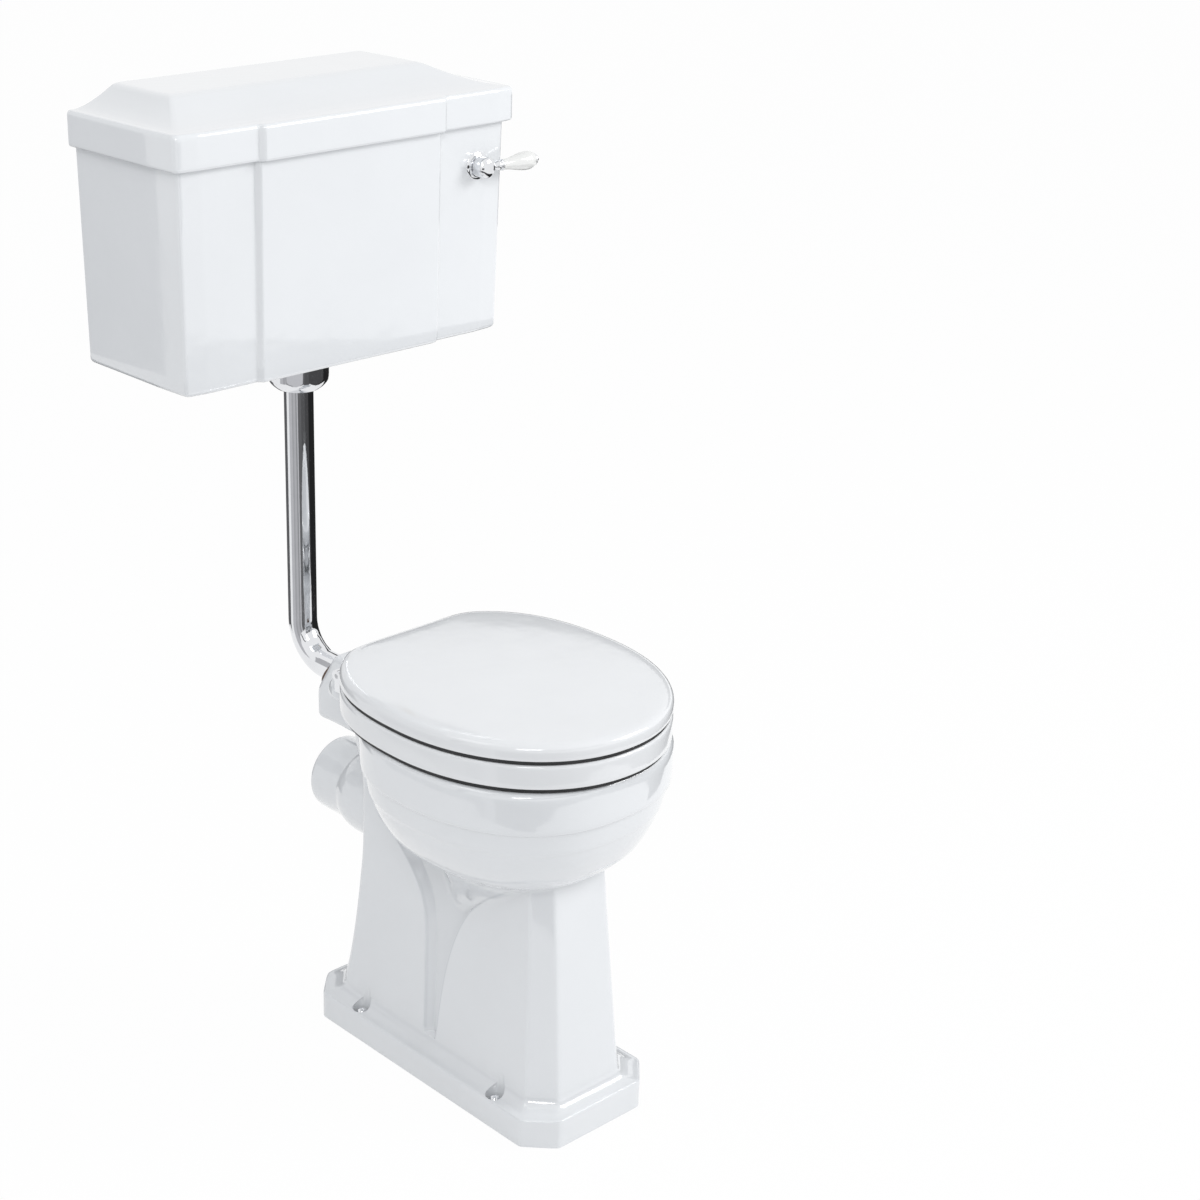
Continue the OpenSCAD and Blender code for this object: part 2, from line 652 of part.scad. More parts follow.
// One skin, from the hollow's ceiling down its inside, under the rim and up the outside.
// The rim is open along the wall.
module cistern_lid() {
    ledge = tank_top + seat_fit;
    open_w = 2 * (tank_half + lid_fit + eps);
    color(white) difference() {
        loft(concat([level(inner_top(), lid_top + lid_rise - 10),
            level(tank_plan(tank_top, tank_wall + 3), lid_top - 9),
            level(tank_plan(tank_top, tank_wall + 3), ledge), level(tank_grown(lid_fit), ledge),
            level(tank_grown(lid_fit), lid_low + 1), level(tank_grown(lid_fit + 0.6), lid_low),
            level(lid_plan(2), lid_low), level(lid_plan(0), lid_low + 2), level(lid_plan(0), lid_top - 3),
            level(lid_plan(1), lid_top - 0.8), level(lid_plan(2.5), lid_top)],
            [for (k = [2:8]) let (t = k / 8)
                level(hip_plan(t * 0.97 + 0.03), lid_top + lid_rise * pow(t, 1.7))]));
        translate([-open_w / 2, wall_y - 8, lid_low - 1]) cube([open_w, 9, lid_drop + 1.6]);
    }
}
function tank_grown(g) = plan(tank_half + g, tank_front - g, wall_y - g, panel_half + 1, panel_step);
function inner_top() = plan(top_half - 12, wall_y - top_depth + 12, wall_y - 14, top_half * 0.5, 0.5);

// The flush lever

lever_face = tank_front + panel_step + 1 + tank_lean * lever_down / tank_h;
arm_y = lever_face - 16;

module lever_rose() {
    color(steel) difference() {
        translate([lever_x, lever_face - 1.1, lever_z]) rotate([90, 0, 0]) rotate_extrude() polygon([
            [0, 0], [17.5, 0], [17.5, 1.2], [16.2, 2.1], [14.4, 2.4], [14.2, 3.8], [12.6, 4.8], [0, 4.8]]);
        rod_y(lever_x, lever_face - 10, lever_z, 12, spindle_d / 2 + 3.3);
    }
}

module lever_bush() {
    color(metal) difference() {
        rod_y(lever_x, lever_face - 5.5, lever_z, 30, spindle_d / 2 + 3);
        rod_y(lever_x, lever_face - 7, lever_z, 40, spindle_d / 2 + run_fit);
    }
}

module lever_bush_nut() {
    color(metal) difference() {
        translate([lever_x, lever_face + tank_wall + 1.2, lever_z]) rotate([-90, 0, 0])
            cylinder(h = 6, r = 14, $fn = 6);
        rod_y(lever_x, lever_face, lever_z, 30, spindle_d / 2 + 3 + slip_fit);
    }
}

module lever_spindle() {
    color(steel) union() {
        rod_y(lever_x, arm_y, lever_z, pipe_y + 5 - arm_y, spindle_d / 2);
        translate([lever_x, lever_face - 6.3, lever_z]) rotate([90, 0, 0]) rotate_extrude() polygon([
            [0, 0], [11.8, 0], [13.2, 1.4], [13.2, 12], [12.4, 14.6], [10.4, 16.6], [7, 18], [0, 18.6]]);
    }
}

hub_r = 13.2;
neck_l = 15;

module lever_neck() {
    color(steel) translate([lever_x + hub_r + 0.1, arm_y, lever_z]) rotate([0, 90, 0]) rotate_extrude()
        polygon([[0, 0], [4, 0], [4.4, 3], [6.2, 6], [6.6, 9], [5.2, 11.4], [7.2, 13], [7.2, neck_l],
            [0, neck_l]]);
}

handle_x = lever_x + hub_r + neck_l + 0.2;
handle_l = lever_x + lever_reach - 8 - handle_x;

module lever_handle() {
    color(white) translate([handle_x, arm_y, lever_z]) rotate([0, 90, 0]) rotate_extrude()
        polygon(concat([[0, 0]],
            [for (k = [0:12]) let (t = k / 12) [6.4 + 5.2 * pow(sin(90 * min(t / 0.78, 1)), 2)
                - 3.6 * pow(max((t - 0.78) / 0.22, 0), 2), handle_l * t]],
            [[0, handle_l]]));
}

module lever_end_cap() {
    color(steel) translate([handle_x + handle_l + 0.1, arm_y, lever_z]) rotate([0, 90, 0])
        rotate_extrude() polygon([[0, 0], [7, 0], [7.4, 1.5], [6.6, 3.4], [4.4, 4.2], [4.2, 6],
            [2.8, 7.4], [0, 7.9]]);
}

module lever_crank() {
    a = lever_max / 2;
    color(metal) difference() {
        union() {
            rod_y(lever_x, pipe_y - 7, lever_z, 14, spindle_d / 2 + 5);
            translate([lever_x, pipe_y, lever_z]) rotate([0, -a, 0])
                translate([-crank_l, link_t / 2 + 0.5, -4]) cube([crank_l, 4, 8]);
            rod_y(pull_x, pipe_y + link_t / 2 + 0.5, pull_z, 4, 4);
            rod_y(pull_x, pipe_y - 4, pull_z, 8, 2);
        }
        rod_y(lever_x, pipe_y - 10, lever_z, 20, spindle_d / 2 + run_fit);
        translate([lever_x, pipe_y, lever_z]) cylinder(h = 20, r = 2.05);
    }
}

module crank_screw() {
    color(steel) translate([lever_x, pipe_y, lever_z + spindle_d / 2 + 0.1]) union() {
        cylinder(h = 7, r = 2);
        translate([0, 0, 5.2]) cylinder(h = 3, r = 3.6);
    }
}

// The float valve

valve_y = pipe_y + 31.6;
head_z = tank_top - 65.3;
nose_h = 9;             // from the arm's pin up to the piston's axis
nose_r = 3;
tip_reach = 33;         // from the valve's axis to the piston's tip
tip_l = 6;
pivot_x = valve_x - tip_reach - 5;
pivot_z = head_z - nose_h;
nose_x = valve_x - tip_reach - seat_fit - nose_r;
tail_out = 30;
tail_free = 20;         // left under the nut for the supply to join
shank_r = inlet_tail_r + 0.5;

module valve_body() {
    color(metal) translate([valve_x, valve_y, 0]) difference() {
        union() {
            translate([0, 0, tank_z - tail_out]) cylinder(h = tail_free + 1, r = inlet_tail_r);
            translate([0, 0, tank_z - tail_out + tail_free])
                cylinder(h = tail_out - tail_free + 15, r = shank_r);
            translate([0, 0, floor_z + 3]) cylinder(h = 5, r = 18);
            translate([0, 0, floor_z + 3]) cylinder(h = head_z - floor_z - 3, r = 9);
            rod_x(-27, 0, head_z, 41, 13);
            for (s = [-1, 1]) translate([-46, s * 8.5 - 2, pivot_z - 6]) cube([30, 4, 15]);
        }
        translate([0, 0, tank_z - tail_out - eps]) cylinder(h = head_z - tank_z + tail_out - 4, r = 6);
        rod_x(-29, 0, head_z, 22, 6 + run_fit);
        rod_x(-8, 0, head_z, 10, 3);
        rod_y(pivot_x - valve_x, -20, pivot_z, 40, 2 + run_fit);
        translate([-50, -6.5, pivot_z - 7]) cube([22.5, 13, 40]);
    }
}

module valve_backnut() {
    color(metal) translate([valve_x, valve_y, tank_z - 8 - seat_fit]) difference() {
        cylinder(h = 8, r = 17, $fn = 6);
        translate([0, 0, -eps]) cylinder(h = 10, r = shank_r + slip_fit);
    }
}

module valve_seal() {
    color(black) translate([valve_x, valve_y, floor_z]) difference() {
        cylinder(h = 3, r = 17.5);
        translate([0, 0, -eps]) cylinder(h = 5, r = shank_r + 0.3);
    }
}

module valve_piston() {
    color(metal) union() {
        rod_x(valve_x - tip_reach, valve_y, head_z, tip_l + 1, 3);
        rod_x(valve_x - tip_reach + tip_l, valve_y, head_z, 13, 6);
    }
}

module piston_washer() {
    color(black) rod_x(valve_x - 13.9, valve_y, head_z, 3, 5.6);
}

module arm_pin() {
    color(steel) rod_y(pivot_x, valve_y - 11, pivot_z, 22, 2);
}

module float_arm() {
    color(metal) difference() {
        union() {
            rod_y(pivot_x, valve_y - 6, pivot_z, 12, 5.5);
            translate([pivot_x - 3, valve_y - 3, pivot_z]) cube([5, 6, nose_h]);
            rod_y(nose_x, valve_y - 3, pivot_z + nose_h, 6, nose_r);
            rod_x(pivot_x - arm_l + float_r - 10, valve_y, pivot_z, arm_l - float_r + 8, 3);
        }
        rod_y(pivot_x, valve_y - 9, pivot_z, 18, 2 + run_fit);
    }
}

module float_ball() {
    color([0.85, 0.4, 0.15]) difference() {
        union() {
            translate([pivot_x - arm_l, valve_y, pivot_z]) sphere(float_r);
            rod_x(pivot_x - arm_l + float_r - 4, valve_y, pivot_z, 10, 6);
        }
        rod_x(pivot_x - arm_l + float_r - 11, valve_y, pivot_z, 30, 3.3);
    }
}

// The seat

ring_z = rim_h + ring_gap;
ring_top = ring_z + seat_t;
lid_z = ring_top + lid_gap;
barrel_z = ring_z + 18;
barrel_r = barrel_d / 2;
ring_rear = hinge_y - barrel_r - 2;

// Outer edge and hole of the ring, point for point
back_reach = lid_back + 14.5;          // where the back would end if it weren't cut straight
function ring_edge() = [for (p = cut_oval(seat_half, seat_front, back_reach, ring_rear - seat_y))
    [p[0], p[1] + seat_y]];
function ring_hole() = [for (p = oval(hole_w / 2, hole_front, hole_back, 72, 2, 2.2)) [p[0], p[1] + seat_y]];

// Section: from the outer edge inwards, then back along the underside. The last number says
// which edge the distance is measured from, 0 for the outer and 1 for the hole.
ring_section = [[1.6, 0, 0], [0.4, 0.5, 0], [0, 1.8, 0], [0, seat_t - 3.5, 0], [0.8, seat_t - 1.2, 0],
    [3, seat_t, 0], [16, seat_t, 1], [7, seat_t - 2, 1], [2, seat_t - 7, 1], [0, seat_t - 14, 1],
    [0, 4, 1], [3, 0, 1]];

module seat_ring() {
    o = ring_edge();
    h = ring_hole();
    color(white) band_loft([for (i = [0:71]) let (d = (h[i] - o[i]) / norm(h[i] - o[i]))
        [for (s = ring_section) let (q = s[2] == 0 ? o[i] + d * s[0] : h[i] - d * s[0])
            [q[0], q[1], ring_z + s[1]]]]);
}

// Places on the middle of the rim where the buffers sit
function buffer_at(t) = let (h = rim_band / 2)
    [(rim_a - h) * cos(t), (sin(t) < 0 ? rim_front - h + 4 : rim_back - h) * sin(t) + rim_y];

module seat_buffers() {
    color(ivory) for (t = [-55, -125, 28, 152]) translate(concat(buffer_at(t), rim_h + seat_fit))
        cylinder(h = ring_gap - seat_fit, r1 = 8, r2 = 9.5);
}

module lid_buffers() {
    color(ivory) for (t = [-62, -118, 22, 158]) translate(concat(buffer_at(t), ring_top + seat_fit))
        cylinder(h = lid_gap - seat_fit, r1 = 6, r2 = 7.5);
}

lid_section = [[1.6, 0], [0.4, 0.5], [0, 1.8], [0, lid_t - 9], [1.4, lid_t - 4.8], [4.6, lid_t - 1.6],
    [9, lid_t - 0.2], [14, lid_t + 0.2], [40, lid_t + 1.2], [90, lid_t + 1.8], [140, lid_t + 2]];

module seat_lid() {
    color(white) loft([for (s = lid_section) [for (p = cut_oval(seat_half - s[0], seat_front - s[0],
        back_reach - s[0], lid_back - s[0])) [p[0], p[1] + seat_y, lid_z + s[1]]]]);
}

// Hinges: a fixed middle knuckle on each pad, the seat's knuckle outside it, the lid's inside it
knuckle_l = 20;
knuckle_gap = 0.3;
side_l = (barrel_l - knuckle_l) / 2 - knuckle_gap;
pad_seal_t = 1.5;
pad_t = 4.5;
post_w = 16;
bolt_tail = 20;         // of each bolt, below the ledge
wing_t = 12;
nut_washer_t = 3;

module hinge_posts() {
    color(steel) for (s = [-1, 1]) translate([s * hinge_dx / 2, 0, 0]) difference() {
        union() {
            rod_x(-knuckle_l / 2, hinge_y, barrel_z, knuckle_l, barrel_r);
            translate([-post_w / 2, hinge_y - 6, rim_h + pad_seal_t + 1])
                cube([post_w, 15, barrel_z - rim_h - pad_seal_t - 3]);
            translate([0, bolt_y, rim_h + pad_seal_t]) rotate_extrude() polygon([[0, 0], [pad_d / 2, 0],
                [pad_d / 2, 3], [pad_d / 2 - 2, pad_t - 0.6], [pad_d / 2 - 5, pad_t], [0, pad_t]]);
        }
        rod_x(-knuckle_l, hinge_y, barrel_z, 2 * knuckle_l, hinge_pin_d / 2 + run_fit);
        translate([0, bolt_y, rim_h]) cylinder(h = 12, r = hinge_bolt_d / 2 + run_fit);
    }
}

module seat_arms() {
    x = knuckle_l / 2 + knuckle_gap;
    arm_in = pad_d / 2 + 2;
    color(steel) for (s = [-1, 1]) translate([s * hinge_dx / 2, 0, 0]) mirror([s < 0 ? 1 : 0, 0, 0])
        difference() {
            union() {
                rod_x(x, hinge_y, barrel_z, side_l, barrel_r);
                translate([arm_in, hinge_y - 7.5, ring_z - 3])
                    cube([x + side_l - arm_in, 11, barrel_z - ring_z]);
                translate([arm_in, ring_rear - 40, ring_z - 3])
                    cube([x + side_l - arm_in, 45, 3 - run_fit]);
            }
            rod_x(x - eps, hinge_y, barrel_z, side_l + 2 * eps, hinge_pin_d / 2 + run_fit);
        }
}

module lid_arms() {
    x = -knuckle_l / 2 - knuckle_gap - side_l;
    color(steel) for (s = [-1, 1]) translate([s * hinge_dx / 2, 0, 0]) mirror([s < 0 ? 1 : 0, 0, 0])
        difference() {
            union() {
                rod_x(x, hinge_y, barrel_z, side_l, barrel_r);
                translate([x + 1, hinge_y - 7.5, barrel_z])
                    cube([side_l - 2, 11, lid_z - barrel_z - run_fit]);
                translate([x + 1, ring_rear - 35, lid_z - 3]) cube([side_l - 2, 40, 3 - run_fit]);
            }
            rod_x(x - eps, hinge_y, barrel_z, side_l + 2 * eps, hinge_pin_d / 2 + run_fit);
        }
}

module hinge_pins() {
    color(steel) for (s = [-1, 1])
        rod_x(s * hinge_dx / 2 - barrel_l / 2, hinge_y, barrel_z, barrel_l, hinge_pin_d / 2);
}

module hinge_pad_seals() {
    color(black) for (s = [-1, 1]) translate([s * hinge_dx / 2, bolt_y, rim_h]) difference() {
        cylinder(h = pad_seal_t, d = pad_d - 1);
        translate([0, 0, -eps]) cylinder(h = 3, d = hinge_bolt_d + 0.4);
    }
}

module hinge_bolts() {
    color(steel) for (s = [-1, 1]) translate([s * hinge_dx / 2, bolt_y, rim_h - ledge_t - bolt_tail])
        cylinder(h = ledge_t + bolt_tail + pad_seal_t + 6, d = hinge_bolt_d);
}

module hinge_nut_washers() {
    low = rim_h - ledge_t - nut_washer_t;
    color(ivory) for (s = [-1, 1]) translate([s * hinge_dx / 2, bolt_y, low]) difference() {
        cylinder(h = nut_washer_t - run_fit, r = 12);
        translate([0, 0, -eps]) cylinder(h = 5, d = hinge_bolt_d + 0.4);
    }
}

module hinge_wing_nuts() {
    low = rim_h - ledge_t - nut_washer_t - wing_t;
    color(ivory) for (s = [-1, 1]) translate([s * hinge_dx / 2, bolt_y, low]) difference() {
        union() {
            cylinder(h = wing_t - 0.1, r = 8);
            translate([-1.5, -14, 0]) cube([3, 28, wing_t - 2]);
        }
        translate([0, 0, -eps]) cylinder(h = wing_t + 2, d = hinge_bolt_d + 0.2);
    }
}

pan();
floor_screw_washers();
floor_screw_caps();
flush_cone();
flush_pipe();
coupling_nut();
coupling_seal();
siphon_backnut();
siphon_seal();
siphon_body();
siphon_rod();
siphon_plunger();
siphon_flap();
lift_link();
cistern_tank();
cistern_lid();
lever_rose();
lever_bush();
lever_bush_nut();
lever_spindle();
lever_neck();
lever_handle();
lever_end_cap();
lever_crank();
crank_screw();
valve_body();
valve_backnut();
valve_seal();
valve_piston();
piston_washer();
arm_pin();
float_arm();
float_ball();
seat_ring();
seat_buffers();
seat_arms();
seat_lid();
lid_buffers();
lid_arms();
hinge_posts();
hinge_pins();
hinge_bolts();
hinge_pad_seals();
hinge_wing_nuts();
hinge_nut_washers();
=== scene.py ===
import json
import math

import bpy
import numpy as np
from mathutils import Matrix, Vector


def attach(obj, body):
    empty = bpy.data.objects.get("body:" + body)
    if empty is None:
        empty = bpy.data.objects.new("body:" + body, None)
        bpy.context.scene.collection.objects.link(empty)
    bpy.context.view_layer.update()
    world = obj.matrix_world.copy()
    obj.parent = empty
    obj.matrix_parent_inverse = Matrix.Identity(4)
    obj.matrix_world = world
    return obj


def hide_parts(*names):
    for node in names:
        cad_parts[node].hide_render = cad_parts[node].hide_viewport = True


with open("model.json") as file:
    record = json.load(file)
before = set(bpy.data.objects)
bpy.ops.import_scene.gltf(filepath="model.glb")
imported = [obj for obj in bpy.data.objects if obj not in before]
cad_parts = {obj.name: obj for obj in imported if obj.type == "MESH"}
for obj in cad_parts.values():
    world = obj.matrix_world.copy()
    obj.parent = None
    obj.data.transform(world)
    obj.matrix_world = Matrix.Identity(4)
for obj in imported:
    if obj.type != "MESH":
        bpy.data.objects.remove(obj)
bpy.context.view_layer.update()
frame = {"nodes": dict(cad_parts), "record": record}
mm = 0.001
print("frame loaded,", len(frame["nodes"]), "nodes")


# Camera and light

viewpoint = dict(
    place=(-1700.8, -1854.2, 1660.5),   # mm
    down=23.7, turn=-40.2,              # degrees
    lens=68.16, shift=(0.1667, 0.05),
)

cameraData = bpy.data.cameras.new("camera")
cameraData.lens = viewpoint["lens"]
cameraData.sensor_width = 36
cameraData.shift_x, cameraData.shift_y = viewpoint["shift"]
cameraData.clip_end = 60
camera = bpy.data.objects.new("camera", cameraData)
bpy.context.collection.objects.link(camera)
camera.location = [v * mm for v in viewpoint["place"]]
camera.rotation_euler = (math.radians(90 - viewpoint["down"]), 0, math.radians(viewpoint["turn"]))
bpy.context.scene.camera = camera
bpy.context.scene.view_settings.view_transform = "Standard"

studio = dict(
    keyPlace=(2.6, -2.4, 2.7), keySize=1.7, keyPower=69,
    fillPlace=(-2.3, -2.3, 3.0), fillSize=1.1, fillPower=27,
    topPlace=(-1.6, 0.3, 3.2), topSize=1.2, topPower=8,
    worldLevel=0.62, floorWhite=0.9, floorShare=0.97,
    aim=(0, 0.1, 0.6),
    # cards that only reflections see: from heading, to heading, low edge at each end, high, grey
    cardRadius=1.15, cardMiddle=(0, 0.3),
    cards=((-49, 44, 0, 0, 0.56, 0.02), (-81, -49, 0.27, 0.06, 0.56, 0.07), (-113, -81, 0.06, 0.27, 0.56, 0.1),
           (-139, -113, 0, 0, 0.56, 0.14), (-147, -139, 0, 0, 0.56, 0.6), (-158, -147, 0, 0, 0.56, 0.34),
           (-176, -158, 0, 0, 0.56, 0.5), (-188, -176, 0, 0, 0.56, 0.42), (-214, -188, 0, 0, 0.56, 0.55),
           (56, 122, 0, 0, 0.56, 0.12), (-20, 52, 0.78, 0.78, 1.02, 0.03), (-122, -82, 0.78, 0.78, 1.02, 0.06),
           (-246, -222, 0.58, 0.58, 1.2, 0.5), (-166, -160, 0.58, 0.58, 1.2, 0.1)),
)


def softLamp(name, place, size, power):
    data = bpy.data.lights.new(name, "AREA")
    data.shape, data.size, data.energy = "SQUARE", size, power
    lamp = bpy.data.objects.new(name, data)
    bpy.context.collection.objects.link(lamp)
    lamp.location = place
    lamp.rotation_euler = (Vector(studio["aim"]) - Vector(place)).to_track_quat("-Z", "Y").to_euler()


for lamp in ("key", "fill", "top"):
    softLamp(lamp + "Lamp", studio[lamp + "Place"], studio[lamp + "Size"], studio[lamp + "Power"])

# Dark and pale cards round the object, for the bands that chrome and glaze show. Only reflections
# meet them. Each is a part of an upright cylinder.
for number, (start, end, low, low2, high, grey) in enumerate(studio["cards"]):
    paper = bpy.data.materials.new(f"card.{number}")
    paper.use_nodes = True
    paper.node_tree.nodes.clear()
    glow = paper.node_tree.nodes.new("ShaderNodeEmission")
    glow.inputs["Color"].default_value = (grey, grey, grey * 1.03, 1)
    paperOut = paper.node_tree.nodes.new("ShaderNodeOutputMaterial")
    paper.node_tree.links.new(glow.outputs[0], paperOut.inputs["Surface"])
    h = np.radians(np.linspace(start, end, 24))
    edge = np.stack([studio["cardMiddle"][0] + studio["cardRadius"] * np.cos(h),
                     studio["cardMiddle"][1] + studio["cardRadius"] * np.sin(h)], -1)
    points = np.concatenate([np.c_[edge, np.linspace(low, low2, 24)], np.c_[edge, np.full(24, high)]])
    k = np.arange(23)
    sheet = bpy.data.meshes.new(f"card.{number}")
    sheet.from_pydata(points, [], np.stack([k, k + 1, k + 25, k + 24], -1).tolist())
    sheet.materials.append(paper)
    card = bpy.data.objects.new(f"card.{number}", sheet)
    bpy.context.collection.objects.link(card)
    card.visible_camera = card.visible_diffuse = card.visible_shadow = card.visible_transmission = False


# One where a ray comes from the camera or is a reflection, nought elsewhere
def seenOrReflected(tree):
    path = tree.nodes.new("ShaderNodeLightPath")
    most = tree.nodes.new("ShaderNodeMath")
    most.operation = "MAXIMUM"
    tree.links.new(path.outputs["Is Camera Ray"], most.inputs[0])
    tree.links.new(path.outputs["Is Glossy Ray"], most.inputs[1])
    return most.outputs[0]


# The world is white to the camera and in reflections, and a plain soft grey to everything else
world = bpy.data.worlds.new("studioWorld")
bpy.context.scene.world = world
world.use_nodes = True
wt = world.node_tree
wt.nodes.clear()
wOut = wt.nodes.new("ShaderNodeOutputWorld")
wMix = wt.nodes.new("ShaderNodeMixShader")
wLight = wt.nodes.new("ShaderNodeBackground")
wLight.inputs["Color"].default_value = (0.955, 0.972, 1, 1)
wLight.inputs["Strength"].default_value = studio["worldLevel"]
wWhite = wt.nodes.new("ShaderNodeBackground")
wWhite.inputs["Color"].default_value = (1, 1, 1, 1)
wWhite.inputs["Strength"].default_value = 1
wt.links.new(seenOrReflected(wt), wMix.inputs["Fac"])
wt.links.new(wLight.outputs[0], wMix.inputs[1])
wt.links.new(wWhite.outputs[0], wMix.inputs[2])
wt.links.new(wMix.outputs[0], wOut.inputs["Surface"])


# Finishes

finishes = dict(
    # the glaze's last colour is the grey of its painted shade, for the creases of the sunk panels
    glaze=dict(base=(0.80, 0.815, 0.83), rough=(0.06, 0.11), coat=0.8, coatRough=0.03,
               spread=0.012, grain=7.0, wave=(16.0, 0.0009), speck=0.5, paintedShade=(0.30, 0.33, 0.37)),
    handle=dict(base=(0.82, 0.82, 0.80), rough=(0.07, 0.13), coat=0.7, coatRough=0.03,
                spread=0.01, grain=30.0, wave=(60.0, 0.0002), speck=0.4),
    seat=dict(base=(0.82, 0.83, 0.84), rough=(0.09, 0.15), coat=0.5, coatRough=0.05,
              spread=0.008, grain=12.0, wave=(22.0, 0.0005), speck=0.25),
    chrome=dict(base=(0.79, 0.80, 0.82), rough=(0.035, 0.10), metal=1.0,
                spread=0.02, grain=40.0, wave=(90.0, 0.00006), speck=0.0),
    steel=dict(base=(0.55, 0.56, 0.58), rough=(0.26, 0.40), metal=1.0,
               spread=0.04, grain=60.0, wave=(320.0, 0.00005), speck=0.0),
    brass=dict(base=(0.62, 0.43, 0.19), rough=(0.24, 0.42), metal=1.0,
               spread=0.09, grain=38.0, wave=(260.0, 0.00008), speck=0.0),
    rubber=dict(base=(0.028, 0.028, 0.029), rough=(0.55, 0.75),
                spread=0.008, grain=45.0, wave=(500.0, 0.0002), speck=0.0),
    cone=dict(base=(0.115, 0.068, 0.045), rough=(0.5, 0.72),
              spread=0.02, grain=38.0, wave=(420.0, 0.0003), speck=0.0),
    nylon=dict(base=(0.72, 0.72, 0.69), rough=(0.38, 0.5),
               spread=0.02, grain=50.0, wave=(400.0, 0.0001), speck=0.1),
    siphon=dict(base=(0.66, 0.65, 0.59), rough=(0.28, 0.42),
                spread=0.03, grain=25.0, wave=(180.0, 0.00015), speck=0.3),
    float=dict(base=(0.60, 0.13, 0.03), rough=(0.33, 0.46),
               spread=0.03, grain=30.0, wave=(120.0, 0.0002), speck=0.2),
)


# One recipe for every finish: cloudy colour, uneven gloss, and a fine wave under the light
def makeFinish(name, look):
    material = bpy.data.materials.new(name)
    material.use_nodes = True
    tree = material.node_tree
    shader = tree.nodes["Principled BSDF"]
    shader.inputs["Metallic"].default_value = look.get("metal", 0.0)
    shader.inputs["Coat Weight"].default_value = look.get("coat", 0.0)
    shader.inputs["Coat Roughness"].default_value = look.get("coatRough", 0.03)
    where = tree.nodes.new("ShaderNodeTexCoord")

    def noise(scale, detail, rough=0.5):
        node = tree.nodes.new("ShaderNodeTexNoise")
        node.inputs["Scale"].default_value = scale
        node.inputs["Detail"].default_value = detail
        node.inputs["Roughness"].default_value = rough
        tree.links.new(where.outputs["Object"], node.inputs["Vector"])
        return node

    cloud = noise(look["grain"], 4)
    ramp = tree.nodes.new("ShaderNodeValToRGB")
    base, spread = look["base"], look["spread"]
    ramp.color_ramp.elements[0].position = 0.3
    ramp.color_ramp.elements[1].position = 0.7
    ramp.color_ramp.elements[0].color = [max(c - spread, 0.0) for c in base] + [1]
    ramp.color_ramp.elements[1].color = [min(c + spread, 1.0) for c in base] + [1]
    tree.links.new(cloud.outputs["Fac"], ramp.inputs["Fac"])
    colour = ramp.outputs["Color"]
    if look.get("speck"):   # a few faint pinholes, as fired glaze and moulded plastic have
        spots = tree.nodes.new("ShaderNodeTexVoronoi")
        spots.inputs["Scale"].default_value = look["grain"] * 4.5
        tree.links.new(where.outputs["Object"], spots.inputs["Vector"])
        near = tree.nodes.new("ShaderNodeMapRange")
        near.inputs["From Min"].default_value = 0.012
        near.inputs["From Max"].default_value = 0.03
        near.inputs["To Min"].default_value = look["speck"] * 0.12
        near.inputs["To Max"].default_value = 0.0
        tree.links.new(spots.outputs["Distance"], near.inputs["Value"])
        mix = tree.nodes.new("ShaderNodeMix")
        mix.data_type = "RGBA"
        mix.inputs["B"].default_value = (0.45, 0.46, 0.47, 1)
        tree.links.new(near.outputs["Result"], mix.inputs["Factor"])
        tree.links.new(colour, mix.inputs["A"])
        colour = mix.outputs["Result"]
    if look.get("paintedShade"):   # painted shade: the colour is tinted grey where a piece carries the painted-shade attribute, for the shade in creases
        depth = tree.nodes.new("ShaderNodeAttribute")
        depth.attribute_name = "paintedShade"
        tint = tree.nodes.new("ShaderNodeMix")
        tint.data_type = "RGBA"
        tint.inputs["B"].default_value = (*look["paintedShade"], 1)
        tree.links.new(depth.outputs["Fac"], tint.inputs["Factor"])
        tree.links.new(colour, tint.inputs["A"])
        colour = tint.outputs["Result"]
    tree.links.new(colour, shader.inputs["Base Color"])
    smear = noise(look["grain"] * 1.7, 3, 0.6)
    gloss = tree.nodes.new("ShaderNodeMapRange")
    gloss.inputs["From Min"].default_value = 0.3
    gloss.inputs["From Max"].default_value = 0.7
    gloss.inputs["To Min"].default_value, gloss.inputs["To Max"].default_value = look["rough"]
    tree.links.new(smear.outputs["Fac"], gloss.inputs["Value"])
    tree.links.new(gloss.outputs["Result"], shader.inputs["Roughness"])
    waveScale, waveHeight = look["wave"]
    wave = noise(waveScale, 2)
    bump = tree.nodes.new("ShaderNodeBump")
    bump.inputs["Strength"].default_value = 1
    bump.inputs["Distance"].default_value = waveHeight
    tree.links.new(wave.outputs["Fac"], bump.inputs["Height"])
    tree.links.new(bump.outputs["Normal"], shader.inputs["Normal"])
    return material


finish = {name: makeFinish(name, look) for name, look in finishes.items()}
print("finishes made:", len(finish))


# Mesh tools

